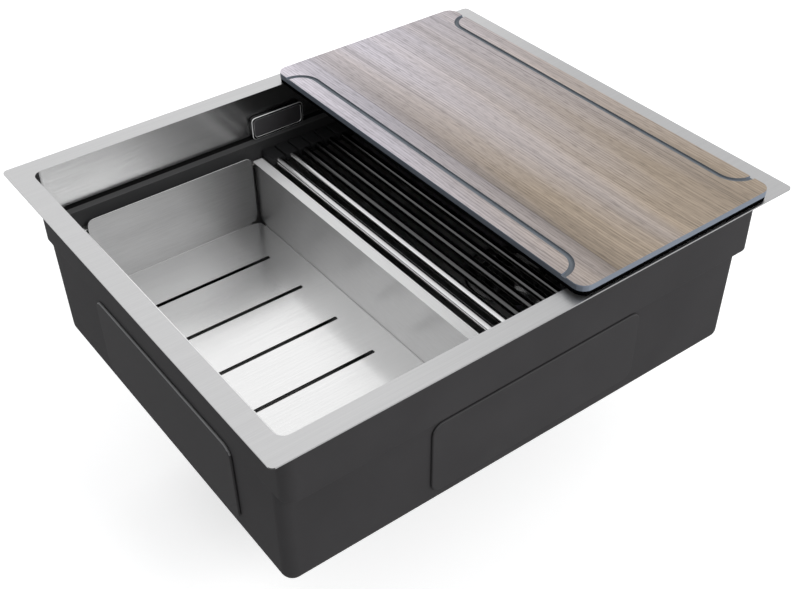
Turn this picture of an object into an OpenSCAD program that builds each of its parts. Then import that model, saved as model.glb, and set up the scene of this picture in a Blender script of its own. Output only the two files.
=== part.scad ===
// Workstation kitchen sink with sliding accessories.
// Millimetres, +Z up, front is -Y. The origin is the centre of the sink
// at the level of the worktop, which is the underside of the rim.

/* [Rim] */
// Overall width of the rim, left to right
rim_w = 600; // [480:1:900]
// Overall depth of the rim, front to back
rim_d = 500; // [420:1:560]
// Thickness of the rim plate
rim_t = 1.5; // [1:0.1:3]
// Width of the flat rim from its edge to the opening
rim_flange = 22; // [16:0.5:40]
// Outer corner radius of the rim
rim_corner_r = 5; // [1:0.5:20]

/* [Bowl] */
// Thickness of the bowl sheet
sheet_t = 1.2; // [0.8:0.1:2]
// Inner corner radius of the walls
wall_r = 10; // [6:0.5:25]
// Depth of the ledge below the rim's top face
ledge_depth = 54; // [30:0.1:80]
// Width of the ledge along the front and the back
ledge_w = 11; // [6:0.5:25]
// Inner depth of the floor at the left wall, from the rim's top face
depth_left = 192; // [150:0.5:260]
// Inner depth of the floor at the right wall, from the rim's top face
depth_right = 202; // [150:0.5:260]
// How far the lower walls lean in at the floor
wall_lean = 1.8; // [0:0.1:6]

/* [Outer band and coating] */
// Thickness of the outer band's sheet
band_t = 1; // [0.6:0.1:2]
// Depth of the band's lower edge below the rim's top face
band_depth = 76; // [60:0.5:110]
// Thickness of the sound-deadening coating
coat_t = 0.8; // [0.3:0.1:2]
// Thickness of a damping pad
pad_t = 2.8; // [1:0.1:5]
// Corner radius of a damping pad
pad_r = 12; // [4:1:30]
// Width of the front and back pads
pad_front_w = 258; // [120:1:400]
// Height of the front and back pads
pad_front_h = 87; // [40:1:110]
// Sideways place of the front pad's centre
pad_front_x = 5; // [-60:1:60]
// Depth of the front and back pads' centre below the rim's top face
pad_front_z = 134.5; // [110:0.5:160]
// Length of the side pads
pad_side_w = 254; // [120:1:320]
// Height of the side pads
pad_side_h = 92; // [40:1:110]
// Place of the side pads' centre, front to back
pad_side_y = -17; // [-60:1:60]
// Depth of the side pads' centre below the rim's top face
pad_side_z = 127; // [100:0.5:160]
// Length and width of the two pads under the floor
pad_floor_w = 150; // [80:1:200]

/* [Accessory rails] */
// Depth of the rails' top face below the rim's top face
rail_depth = 74.1; // [62:0.5:110]
// Width of the rail's shelf
rail_w = 6.5; // [4:0.5:14]
// Thickness of the rail's sheet
rail_t = 1.2; // [0.8:0.1:2]
// Height of the rail's upright leg
rail_leg = 9; // [5:0.5:20]
// Length of a rail
rail_len = 532; // [300:1:840]
// Gap between a resting accessory and its rail
rest_gap = 0.3; // [0.05:0.05:0.5]

/* [Overflow] */
// Sideways place of the overflow
cover_x = 3.5; // [-60:0.5:60]
// Width of the overflow cover
cover_w = 67; // [50:1:90]
// Height of the overflow cover
cover_h = 27.4; // [20:1:36]
// How far the cover's face stands off the wall
cover_off = 6; // [4:0.5:12]
// Corner radius of the cover
cover_r = 5; // [2:0.5:12]
// Sheet thickness of the cover
cover_t = 1.2; // [0.8:0.1:2]
// Width of the raised edge round the cover's panel
cover_edge = 3; // [2:0.2:6]
// Height of the cover's centre above the ledge
cover_rise = 14.5; // [14:0.1:30]
// Width of the overflow hole in the wall
over_hole_w = 30; // [16:1:40]
// Height of the overflow hole in the wall
over_hole_h = 14; // [8:1:20]
// Corner radius of the overflow hole
over_hole_r = 4.5; // [1:0.5:8]
// Width of the housing behind the wall
house_w = 60; // [48:1:80]
// Height of the housing behind the wall
house_h = 34; // [26:1:40]
// How deep the housing stands behind its gasket
house_deep = 18; // [14:0.5:20]
// Wall thickness of the housing
house_t = 2; // [1.5:0.1:3]
// Outer radius of the hose spigots
spigot_r = 7; // [6:0.1:8]
// Length of a hose spigot
spigot_len = 16; // [10:1:24]
// Radius of an overflow screw's shank
over_screw_r = 2; // [1.5:0.1:2.5]
// Distance between the two overflow screws
over_screw_pitch = 40; // [30:1:50]

/* [Overflow hose] */
// Outer radius of the hose's ribs
hose_r = 11; // [10:0.1:12]
// Depth of the grooves between the ribs
hose_groove = 1.4; // [0.8:0.1:1.6]
// Inner radius of the hose
hose_bore_r = 7.9; // [7.7:0.1:8.2]
// Number of ribs along the hose
hose_ribs = 120; // [60:2:180]

/* [Drain] */
// Distance from the drain's centre to the right wall
drain_in = 108; // [100:1:300]
// Front-to-back place of the drain's centre
drain_y = 0; // [-120:1:120]
// Radius of the pressed recess round the drain
recess_r = 59; // [57:0.5:66]
// Depth of the recess below the floor at the drain's centre
recess_drop = 4.2; // [3.4:0.1:8]
// Radius of the hole in the floor
floor_hole_r = 44; // [42:0.5:48]
// Radius of the drain body's flange
flange_r = 56.5; // [52:0.5:58]
// Thickness of the drain body's sheet
drain_t = 1.4; // [1:0.1:2]
// Outer radius of the drain body's cup
cup_r = 41; // [36:0.5:43]
// Height of the drain body's cup
cup_h = 52; // [40:1:80]
// Outer radius of the outlet thread
outlet_r = 23.5; // [20:0.5:26]
// Length of the outlet thread
outlet_len = 24; // [16:1:36]
// Thickness of the seal under the flange
seal_t = 1.4; // [0.8:0.1:2]
// Thickness of the rubber gasket under the floor
gasket_t = 4; // [2:0.5:8]
// Thickness of the slip ring
slip_t = 1.2; // [0.8:0.1:2]
// Height of the lock nut
nut_h = 13; // [8:1:20]
// Outer radius of the lock nut
nut_r = 51; // [48:0.5:60]
// Outer radius of the outlet adapter
adapter_r = 29; // [27:0.5:36]
// Length of the outlet adapter's body
adapter_len = 46; // [40:1:70]
// Outer radius of the outlet pipe end
pipe_r = 20; // [16:0.5:20]
// Length of the outlet pipe end
pipe_len = 34; // [20:1:60]

/* [Basket] */
// Outer radius of the basket's rim
basket_rim_r = 39.2; // [33:0.1:39.2]
// Outer radius of the basket's cup
basket_r = 34; // [28:0.5:36]
// Height of the basket
basket_h = 42; // [20:1:44]
// Sheet thickness of the basket
basket_t = 0.9; // [0.6:0.1:1.5]
// Number of slots round the basket
basket_slots = 18; // [8:1:24]
// Width of a basket slot
basket_slot_w = 3; // [2:0.5:5]
// Radius of the stopper under the basket
stopper_r = 29; // [25:0.5:32]
// Thickness of the stopper
stopper_t = 4; // [3:0.5:6]
// Radius of the knob's post
post_r = 3.5; // [2.5:0.1:5]
// Radius of the knob
knob_r = 9; // [6:0.5:14]

/* [Colander] */
// Inner width of the colander, left to right
col_w = 205.3; // [120:0.5:260]
// Inner length of the colander, front to back
col_d = 417; // [300:1:419]
// Left-to-right place of the colander's centre
col_x = -141.3; // [-160:0.1:-100]
// Inner height of the colander from its floor to its lip
col_h = 78.2; // [50:0.1:100]
// How far the end walls stand above the lip
col_end_rise = 8.8; // [0:0.1:16]
// Sheet thickness of the colander
col_t = 1; // [0.8:0.1:1.5]
// Width of the side lips
col_lip_w = 12.4; // [8:0.1:20]
// Distance from the lip's end to the ledge wall above it
col_lip_back = 4; // [1:0.1:6]
// Radius of the lip's outer corners
col_lip_r = 1.5; // [1:0.5:8]
// Gap between a wall's end and the corner of the tray
col_slit = 3.5; // [2:0.5:10]
// Radius of the round relief at each corner
col_relief_r = 5; // [3:0.5:9]
// Radius of the end walls' upper corners
col_end_r = 8; // [2:0.5:20]
// Number of slots in the floor
col_slots = 5; // [3:1:6]
// Distance between two slots
col_slot_pitch = 65.7; // [50:0.1:80]
// Front-to-back place of the middle slot
col_slot_y = 11.5; // [-20:0.1:20]
// Length of a slot
col_slot_len = 147; // [80:0.5:180]
// Width of a slot
col_slot_w = 5; // [3:0.1:8]

/* [Rack] */
// Number of rods
rod_count = 17; // [6:1:20]
// Distance between two rods
rod_pitch = 17.4; // [14:0.1:20]
// Radius of a rod
rod_r = 4.5; // [3:0.1:6]
// Place of the first rod's axis, left to right
rod_first_x = -16.9; // [-20:0.1:60]
// Width of the rubber pad on a rod's end
boot_w = 15; // [10:0.1:16]
// Length of the rubber pad on a rod's end
boot_len = 24.7; // [12:0.1:40]
// Height of the rubber pad
boot_h = 9.6; // [8:0.1:12]
// Distance from the strip's end to the wall behind it
boot_gap = 1.3; // [0.5:0.1:4]
// Rubber left past the rod's end
boot_end = 2.5; // [1:0.1:5]
// Thickness of the web between two pads
web_t = 3; // [1.5:0.1:5]
// How far the web stops short of the pads' ends
web_back = 6; // [1:0.1:10]
// Gap between a rod and its hole in the rubber
boot_fit = 0.05; // [0.02:0.01:0.2]

/* [Cutting board] */
// Width of the board, left to right
board_w = 251; // [180:0.5:400]
// How much shorter the board is than the rim is deep, front to back
board_short = 11.5; // [6:0.5:20]
// Left-to-right place of the board's centre
board_x = 142.5; // [-170:0.5:170]
// Front-to-back place of the board's centre
board_y = -3.8; // [-6:0.1:6]
// Corner radius of the board
board_r = 12; // [4:0.5:40]
// Thickness of the black base
base_t = 5; // [2:0.5:10]
// Thickness of the core
core_t = 5.5; // [3:0.5:20]
// Thickness of the wood-look face
face_t = 1; // [0.5:0.1:3]
// How far the base is set in at the edge
base_inset = 0.4; // [0:0.1:2]
// Width of the juice grooves
groove_w = 5.5; // [3:0.5:10]
// Depth of the grooves in the core
groove_deep = 1.6; // [0.8:0.1:4]
// Distance of a groove's straight run from the board's long edge
groove_in = 23; // [14:0.5:50]
// Distance of a groove's end from the board's short edge
groove_end = 24; // [14:0.5:60]
// Gap between the board and the rim
board_gap = 0.3; // [0.05:0.05:0.3]

/* [Hidden] */

// Smoothness of small and of large rounds
fn_s = 32;
fn_m = 64;
// A little more, so that a cut goes right through
eps = 0.5;
// Opening of the bowl
open_w = rim_w - 2 * rim_flange;
open_d = rim_d - 2 * rim_flange;
low_d = open_d - 2 * ledge_w;
// Levels, all from the underside of the rim
z_ledge = rim_t - ledge_depth;
z_left = rim_t - depth_left;
z_right = rim_t - depth_right;
z_band = rim_t - band_depth;
z_rail = rim_t - rail_depth;
z_lip = z_rail + rest_gap + col_t;
z_tray = z_lip - col_h;
z_col_end = z_lip + col_end_rise;
// Floor level at the drain, and its recess
drain_x = open_w / 2 - drain_in;
floor_run = open_w - 2 * wall_lean;
z_floor_mid = (z_left + z_right) / 2;
z_at_drain = z_floor_mid + (z_right - z_left) * drain_x / floor_run;
z_recess = z_at_drain - recess_drop;
// Overflow levels and planes
z_cover = z_ledge + cover_rise;
wall_in_y = open_d / 2;
wall_out_y = wall_in_y + sheet_t;
gasket_o_t = 1.5;
rail_wall_gap = 0.45;
rail_y = low_d / 2 - rail_wall_gap;
house_y = wall_out_y + gasket_o_t;
house_back_y = house_y + house_deep;
z_house_low = z_cover - house_h / 2;
spigot_y = house_y + (house_deep - house_t) / 2;
// Drain levels, from the top down
z_flange = z_recess + seal_t;
z_cup = z_flange - cup_h;
z_outlet = z_cup - outlet_len;
z_boss = z_recess - sheet_t;
z_gasket = z_boss - coat_t - gasket_t;
z_slip = z_gasket - slip_t;
z_nut = z_slip - nut_h;
adapter_skirt = 12;
z_adapter_top = z_outlet + adapter_skirt;
z_adapter = z_adapter_top - adapter_len;
z_pipe = z_adapter - pipe_len;
z_inlet = z_outlet - 14;
thread_gap = 0.2;
inlet_reach = 16;
inlet_y = drain_y + adapter_r + inlet_reach;
// Colander planes
col_out_w = col_w + 2 * col_t + 2 * (col_lip_w - col_t);
col_lip_end = low_d / 2 - col_lip_back;
// Rack planes
z_boot = z_rail + rest_gap;
z_rod = z_boot + boot_h / 2;
boot_y = low_d / 2 - boot_gap;
boot_in_y = boot_y - boot_len;
rod_end_y = boot_y - boot_end;
// Board depth and levels
board_d = rim_d - board_short;
z_board = rim_t + board_gap;
z_core = z_board + base_t;
z_face = z_core + core_t;
z_top = z_face + face_t;
groove_y = board_d / 2 - groove_end;
// Basket levels
basket_seat_gap = 0.3;
z_stop = z_cup + drain_t + basket_seat_gap;
z_basket = z_stop + stopper_t;
z_basket_top = z_basket + basket_h;

// Flat rounded rectangle about the origin
module rr(w, d, r) {
  square([w - 2 * r, d], center = true);
  square([w, d - 2 * r], center = true);
  for (sx = [-1, 1], sy = [-1, 1])
    translate([sx * (w / 2 - r), sy * (d / 2 - r)])
      circle(r, $fn = fn_m);
}

// Upright slab with that outline, from z0 to z1
module slab(w, d, r, z0, z1) {
  translate([0, 0, z0])
    linear_extrude(z1 - z0)
      rr(w, d, r);
}

// Outer form of the lower bowl, grown by e on every side and by up at the top
module lower_form(e, up = 0) {
  hull() {
    translate([0, 0, z_ledge - 4])
      linear_extrude(4 + up)
        rr(open_w + 2 * e, low_d + 2 * e, wall_r + e);
    for (sy = [-1, 1]) {
      translate([-(open_w / 2 - wall_lean - wall_r), sy * (low_d / 2 - wall_lean - wall_r), z_left + wall_r])
        sphere(wall_r + e, $fn = fn_s);
      translate([open_w / 2 - wall_lean - wall_r, sy * (low_d / 2 - wall_lean - wall_r), z_right + wall_r])
        sphere(wall_r + e, $fn = fn_s);
    }
  }
}

// Flat rim that lies on the worktop
module rim_plate() {
  color([0.8, 0.81, 0.82])
    difference() {
      slab(rim_w, rim_d, rim_corner_r, 0, rim_t);
      slab(open_w, open_d, wall_r, -eps, rim_t + eps);
    }
}

// Upper walls between the rim and the ledge, with the overflow's holes
module upper_walls() {
  color([0.76, 0.77, 0.78])
    difference() {
      slab(open_w + 2 * sheet_t, open_d + 2 * sheet_t, wall_r + sheet_t, z_ledge, 0);
      slab(open_w, open_d, wall_r, z_ledge - eps, eps);
      translate([cover_x, wall_in_y, z_cover])
        rotate([90, 0, 0])
          linear_extrude(4 * sheet_t, center = true)
            rr(over_hole_w, over_hole_h, over_hole_r);
      for (sx = [-1, 1])
        translate([cover_x + sx * over_screw_pitch / 2, wall_in_y, z_cover])
          rotate([90, 0, 0])
            cylinder(h = 4 * sheet_t, r = over_screw_r + 0.1, center = true, $fn = fn_s);
    }
}

// Pressed bowl: ledge, lower walls, sloping floor and drain recess
module sink_bowl() {
  color([0.78, 0.79, 0.8])
    difference() {
      union() {
        slab(open_w + 2 * sheet_t, open_d + 2 * sheet_t, wall_r + sheet_t, z_ledge - sheet_t, z_ledge);
        lower_form(sheet_t);
        translate([drain_x, drain_y, z_boss])
          cylinder(h = recess_drop + sheet_t, r = recess_r + sheet_t, $fn = fn_m);
      }
      lower_form(0, eps);
      translate([drain_x, drain_y, z_recess])
        cylinder(h = recess_drop + 10, r = recess_r, $fn = fn_m);
      translate([drain_x, drain_y, z_boss - eps])
        cylinder(h = recess_drop + 10, r = floor_hole_r, $fn = fn_m);
    }
}

// Folded band round the upper walls, closed against the lower bowl
module outer_band() {
  color([0.2, 0.2, 0.21])
    difference() {
      union() {
        difference() {
          slab(open_w + 2 * sheet_t + 2 * band_t, open_d + 2 * sheet_t + 2 * band_t,
            wall_r + sheet_t + band_t, z_band, 0);
          slab(open_w + 2 * sheet_t, open_d + 2 * sheet_t, wall_r + sheet_t, z_band - eps, eps);
        }
        slab(open_w + 2 * sheet_t + band_t, open_d + 2 * sheet_t + band_t,
          wall_r + sheet_t + band_t / 2, z_band, z_band + band_t);
      }
      slab(open_w + 2 * sheet_t, low_d + 2 * sheet_t, wall_r + sheet_t, z_band - eps, z_band + band_t + eps);
      translate([cover_x - house_w / 2 - 1, low_d / 2, z_band - eps])
        cube([house_w + 2, rim_d, z_cover + house_h / 2 + 1 - z_band + eps]);
    }
}

// Sprayed coating on the lower bowl, below the band
module sound_coat() {
  color([0.24, 0.24, 0.25])
    difference() {
      union() {
        lower_form(sheet_t + coat_t);
        translate([drain_x, drain_y, z_boss - coat_t])
          cylinder(h = recess_drop + sheet_t, r = recess_r + sheet_t + coat_t, $fn = fn_m);
      }
      lower_form(sheet_t);
      translate([drain_x, drain_y, z_boss])
        cylinder(h = recess_drop + sheet_t + 10, r = recess_r + sheet_t, $fn = fn_m);
      translate([drain_x, drain_y, z_boss - coat_t - eps])
        cylinder(h = recess_drop, r = floor_hole_r, $fn = fn_m);
      translate([0, 0, z_band + rim_d / 2])
        cube([rim_w, rim_d, rim_d], center = true);
    }
}

// Skin that the pads are cut from, just outside the coating
module pad_skin() {
  difference() {
    lower_form(sheet_t + coat_t + pad_t);
    lower_form(sheet_t + coat_t);
  }
}

// Front or back pad
module pad_long(s) {
  color([0.27, 0.27, 0.28])
    intersection() {
      pad_skin();
      translate([pad_front_x, s * rim_d / 4, rim_t - pad_front_z])
        rotate([90, 0, 0])
          linear_extrude(rim_d / 2, center = true)
            rr(pad_front_w, pad_front_h, pad_r);
    }
}

// Left or right pad
module pad_short(s) {
  color([0.27, 0.27, 0.28])
    intersection() {
      pad_skin();
      translate([s * rim_w / 4, pad_side_y, rim_t - pad_side_z])
        rotate([90, 0, 90])
          linear_extrude(rim_w / 2, center = true)
            rr(pad_side_w, pad_side_h, pad_r);
    }
}

// Front pad
module pad_front() {
  pad_long(-1);
}

// Back pad
module pad_back() {
  pad_long(1);
}

// Left pad
module pad_left() {
  pad_short(-1);
}

// Right pad
module pad_right() {
  pad_short(1);
}

// Two square pads under the floor, left of the drain
module pads_floor() {
  color([0.27, 0.27, 0.28])
    intersection() {
      pad_skin();
      for (sy = [-1, 1])
        translate([-pad_floor_w / 2 - 30, sy * (pad_floor_w / 2 + 20), z_floor_mid])
          linear_extrude(60, center = true)
            rr(pad_floor_w, pad_floor_w, pad_r);
    }
}

// Angle rail that carries the accessories, on the wall of sign s
module rail(s) {
  color([0.7, 0.71, 0.72])
    translate([-rail_len / 2, 0, z_rail])
      rotate([90, 0, 90])
        linear_extrude(rail_len)
          polygon([
            [s * rail_y, 0],
            [s * (rail_y - rail_w), 0],
            [s * (rail_y - rail_w), -rail_t],
            [s * (rail_y - rail_t), -rail_t],
            [s * (rail_y - rail_t), -rail_leg],
            [s * rail_y, -rail_leg]
          ]);
}

// Front rail
module rail_front() {
  rail(-1);
}

// Back rail
module rail_back() {
  rail(1);
}

// Overflow cover: rounded cap with a raised edge
module overflow_cover() {
  color([0.85, 0.86, 0.88])
    translate([cover_x, wall_in_y, z_cover])
      rotate([90, 0, 0])
        difference() {
          translate([0, 0, 1])
            linear_extrude(cover_off - 1)
              rr(cover_w, cover_h, cover_r);
          translate([0, 0, 1 - eps])
            linear_extrude(cover_off - cover_t - 1 + eps)
              rr(cover_w - 2 * cover_t, cover_h - 2 * cover_t, cover_r - cover_t);
          translate([0, 0, cover_off - cover_t - eps])
            linear_extrude(cover_t + 2 * eps)
              rr(cover_w - 2 * cover_edge, cover_h - 2 * cover_edge, cover_r - cover_edge / 2);
        }
}

// Dark panel set into the cover
module overflow_panel() {
  color([0.25, 0.25, 0.27])
    translate([cover_x, wall_in_y, z_cover])
      rotate([90, 0, 0])
        translate([0, 0, cover_off - cover_t - 1])
          union() {
            linear_extrude(1)
              rr(cover_w - 2 * cover_t - 0.2, cover_h - 2 * cover_t - 0.2, cover_r - cover_t);
            linear_extrude(1.6)
              rr(cover_w - 2 * cover_edge - 0.1, cover_h - 2 * cover_edge - 0.1, cover_r - cover_edge / 2);
          }
}

// Base that the cover clips over, screwed through the wall
module overflow_base() {
  color([0.75, 0.76, 0.78])
    translate([cover_x, wall_in_y, z_cover])
      rotate([90, 0, 0])
        difference() {
          union() {
            linear_extrude(1.6)
              rr(over_screw_pitch + 12, over_hole_h + 4, 4);
            for (sx = [-1, 1])
              translate([sx * (over_screw_pitch / 2 + 4.5), 0, 0.8])
                linear_extrude(cover_off - cover_t - 1 - 0.8)
                  square([2, 8], center = true);
          }
          linear_extrude(6, center = true)
            rr(over_hole_w - 2, over_hole_h - 2, 3);
          for (sx = [-1, 1])
            translate([sx * over_screw_pitch / 2, 0, 0])
              cylinder(h = 6, r = over_screw_r + 0.1, center = true, $fn = fn_s);
        }
}

// Two screws that hold base, wall, gasket and housing together
module overflow_screws() {
  color([0.7, 0.7, 0.72])
    for (sx = [-1, 1])
      translate([cover_x + sx * over_screw_pitch / 2, wall_in_y, z_cover])
        rotate([90, 0, 0])
          union() {
            translate([0, 0, -sheet_t - gasket_o_t - house_t - 3])
              cylinder(h = sheet_t + gasket_o_t + house_t + 3 + 1.6, r = over_screw_r, $fn = fn_s);
            translate([0, 0, 1.6])
              cylinder(h = 1.2, r = 2 * over_screw_r - 0.6, $fn = fn_s);
          }
}

// Rubber gasket between the wall and the housing
module overflow_gasket() {
  color([0.1, 0.1, 0.1])
    translate([cover_x, wall_out_y, z_cover])
      rotate([-90, 0, 0])
        difference() {
          linear_extrude(gasket_o_t)
            rr(house_w, house_h, 5);
          translate([0, 0, -eps])
            linear_extrude(gasket_o_t + 2 * eps)
              rr(over_hole_w, over_hole_h, over_hole_r);
          for (sx = [-1, 1])
            translate([sx * over_screw_pitch / 2, 0, -eps])
              cylinder(h = gasket_o_t + 2 * eps, r = over_screw_r + 0.1, $fn = fn_s);
        }
}

// Plastic housing behind the wall, with its hose spigot
module overflow_housing() {
  color([0.9, 0.9, 0.88])
    difference() {
      union() {
        translate([cover_x, house_y, z_cover])
          rotate([-90, 0, 0])
            linear_extrude(house_deep)
              rr(house_w, house_h, 5);
        translate([cover_x, spigot_y, z_house_low - spigot_len])
          cylinder(h = spigot_len + house_t, r = spigot_r, $fn = fn_s);
      }
      translate([cover_x, house_y - eps, z_cover])
        rotate([-90, 0, 0])
          linear_extrude(house_deep - house_t + eps)
            rr(over_screw_pitch - 4 * over_screw_r, house_h - 2 * house_t, 3);
      translate([cover_x, spigot_y, z_house_low - spigot_len - eps])
        cylinder(h = spigot_len + 2 * house_t + 2, r = spigot_r - 1.6, $fn = fn_s);
      for (sx = [-1, 1])
        translate([cover_x + sx * over_screw_pitch / 2, house_y + house_t + 1.5, z_cover])
          rotate([90, 0, 0])
            cylinder(h = 2 * house_t + 5, r = over_screw_r + 0.02, center = true, $fn = fn_s);
    }
}

// Route of the hose: straight down behind the bowl, then under it
hose_top = [cover_x, spigot_y, z_house_low];
hose_path = [
  hose_top,
  hose_top + [0, 0, -24],
  hose_top + [0, 0, -46],
  hose_top + [4, 0, -92],
  hose_top + [16, -2, -138],
  hose_top + [40, -14, -182],
  hose_top + [74, -46, -216],
  [drain_x - 60, inlet_y + 106, z_inlet + 6],
  [drain_x - 22, inlet_y + 76, z_inlet],
  [drain_x, inlet_y + 46, z_inlet],
  [drain_x, inlet_y + 24, z_inlet],
  [drain_x, inlet_y, z_inlet]
];

// Point on the smooth route through the chosen points, t in points
function hose_at(t) = let(n = len(hose_path) - 1, i = min(floor(t), n - 1), u = t - i,
  a = hose_path[max(i - 1, 0)], b = hose_path[i], c = hose_path[i + 1], d = hose_path[min(i + 2, n)])
  0.5 * (2 * b + (c - a) * u + (2 * a - 5 * b + 4 * c - d) * u * u + (3 * b - a - 3 * c + d) * u * u * u);

// Unit vector
function unit(v) = v / norm(v);

// Direction of the route
function hose_dir(t) = let(n = len(hose_path) - 1, h = 0.01)
  unit(hose_at(min(t + h, n)) - hose_at(max(t - h, 0)));

// Ring of eight points of radius r about the route
function hose_ring(t, r) = let(d = hose_dir(t), s = unit(cross([1, 1, 0], d)), q = cross(d, s))
  [for (a = [0:45:315]) hose_at(t) + r * (cos(a) * s + sin(a) * q)];

// Ribbed hose with its bore
module overflow_hose() {
  steps = 2 * hose_ribs;
  last = len(hose_path) - 1;
  outer = [for (k = [0:steps]) hose_ring(last * k / steps, k % 2 == 0 ? hose_r - hose_groove : hose_r)];
  inner = [for (k = [0:4:steps]) hose_ring(last * k / steps, hose_bore_r)];
  no = len(outer);
  ni = len(inner);
  pts = concat([for (g = outer) each g], [for (g = inner) each g]);
  base_i = 8 * no;
  side_o = [for (k = [0:no - 2], j = [0:7]) each [
    [8 * k + j, 8 * k + (j + 1) % 8, 8 * k + 8 + j],
    [8 * k + (j + 1) % 8, 8 * k + 8 + (j + 1) % 8, 8 * k + 8 + j]]];
  side_i = [for (k = [0:ni - 2], j = [0:7]) each [
    [base_i + 8 * k + j, base_i + 8 * k + 8 + j, base_i + 8 * k + (j + 1) % 8],
    [base_i + 8 * k + (j + 1) % 8, base_i + 8 * k + 8 + j, base_i + 8 * k + 8 + (j + 1) % 8]]];
  cap_a = [for (j = [0:7]) each [
    [j, base_i + j, (j + 1) % 8],
    [(j + 1) % 8, base_i + j, base_i + (j + 1) % 8]]];
  eo = 8 * (no - 1);
  ei = base_i + 8 * (ni - 1);
  cap_b = [for (j = [0:7]) each [
    [eo + j, eo + (j + 1) % 8, ei + j],
    [eo + (j + 1) % 8, ei + (j + 1) % 8, ei + j]]];
  color([0.88, 0.88, 0.86])
    polyhedron(points = pts, faces = concat(side_o, side_i, cap_a, cap_b), convexity = 10);
}

// Clamp ring on a hose end
module hose_clamp() {
  difference() {
    union() {
      cylinder(h = 9, r = hose_r + 1.6, $fn = fn_s);
      translate([hose_r, -4, 0])
        cube([6, 8, 9]);
    }
    translate([0, 0, -eps])
      cylinder(h = 9 + 2 * eps, r = hose_r + 0.05, $fn = fn_s);
  }
}

// Clamp ring at the housing
module hose_clamp_top() {
  color([0.15, 0.15, 0.16])
    translate([cover_x, spigot_y, z_house_low - 11])
      hose_clamp();
}

// Clamp ring at the outlet adapter
module hose_clamp_bottom() {
  color([0.15, 0.15, 0.16])
    translate([drain_x, inlet_y + 1, z_inlet])
      rotate([-90, 0, 0])
        hose_clamp();
}

// Drain body: flange and cup wall
module drain_body() {
  color([0.8, 0.81, 0.82])
    translate([drain_x, drain_y, 0])
      rotate_extrude($fn = fn_m)
        polygon([
          [cup_r, z_flange],
          [flange_r, z_flange],
          [flange_r, z_flange + 0.6],
          [flange_r - 2, z_flange + drain_t],
          [cup_r - drain_t + 1, z_flange + drain_t],
          [cup_r - drain_t, z_flange + drain_t - 1],
          [cup_r - drain_t, z_cup + drain_t],
          [cup_r, z_cup + drain_t]
        ]);
}

// Bottom of the drain's cup with the threaded outlet, welded to the body
module drain_tube() {
  color([0.78, 0.79, 0.8])
    translate([drain_x, drain_y, 0])
      rotate_extrude($fn = fn_m)
        polygon([
          [outlet_r - drain_t, z_outlet],
          [outlet_r, z_outlet],
          [outlet_r, z_cup],
          [cup_r, z_cup],
          [cup_r, z_cup + drain_t],
          [outlet_r - drain_t, z_cup + drain_t]
        ]);
}

// Flat ring with its lower face at z0
module ring_at(r1, r0, z0, h) {
  translate([drain_x, drain_y, z0])
    difference() {
      cylinder(h = h, r = r1, $fn = fn_m);
      translate([0, 0, -eps])
        cylinder(h = h + 2 * eps, r = r0, $fn = fn_m);
    }
}

// Seal under the drain's flange
module drain_seal() {
  color([0.12, 0.12, 0.12])
    ring_at(flange_r - 0.5, floor_hole_r, z_recess, seal_t);
}

// Rubber gasket under the floor
module drain_gasket() {
  color([0.1, 0.1, 0.1])
    ring_at(flange_r - 1.5, cup_r + 0.1, z_gasket, gasket_t);
}

// Slip ring between the gasket and the nut
module drain_slip_ring() {
  color([0.85, 0.84, 0.8])
    ring_at(flange_r - 2.5, cup_r + thread_gap, z_slip, slip_t);
}

// Lock nut with its lugs
module drain_lock_nut() {
  color([0.9, 0.9, 0.88])
    difference() {
      union() {
        translate([drain_x, drain_y, z_nut])
          cylinder(h = nut_h, r = nut_r - 3, $fn = fn_m);
        for (a = [0:60:300])
          translate([drain_x, drain_y, z_nut])
            rotate([0, 0, a])
              translate([nut_r - 6, -4, 0])
                cube([6, 8, nut_h]);
      }
      translate([drain_x, drain_y, z_nut - eps])
        cylinder(h = nut_h + 2 * eps, r = cup_r + thread_gap, $fn = fn_m);
    }
}

// Outlet adapter with the overflow's inlet and the pipe end
module drain_adapter() {
  color([0.9, 0.9, 0.88])
    difference() {
      union() {
        translate([drain_x, drain_y, z_adapter])
          cylinder(h = adapter_len, r = adapter_r, $fn = fn_m);
        translate([drain_x, drain_y, z_pipe])
          cylinder(h = pipe_len + 1, r = pipe_r, $fn = fn_m);
        translate([drain_x, drain_y + adapter_r - 6, z_inlet])
          rotate([-90, 0, 0])
            cylinder(h = inlet_reach + 6 + spigot_len, r = spigot_r, $fn = fn_s);
        translate([drain_x, drain_y + adapter_r - 6, z_inlet])
          rotate([-90, 0, 0])
            cylinder(h = inlet_reach + 6, r = hose_r, $fn = fn_s);
      }
      translate([drain_x, drain_y, z_outlet])
        cylinder(h = adapter_skirt + eps, r = outlet_r + thread_gap, $fn = fn_m);
      translate([drain_x, drain_y, z_adapter + 2.5])
        cylinder(h = z_outlet - z_adapter, r = outlet_r - drain_t, $fn = fn_m);
      translate([drain_x, drain_y, z_pipe - eps])
        cylinder(h = pipe_len + 6, r = pipe_r - 2, $fn = fn_m);
      translate([drain_x, drain_y, z_inlet])
        rotate([-90, 0, 0])
          cylinder(h = adapter_r + inlet_reach + spigot_len + eps, r = spigot_r - 1.6, $fn = fn_s);
    }
}

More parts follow.
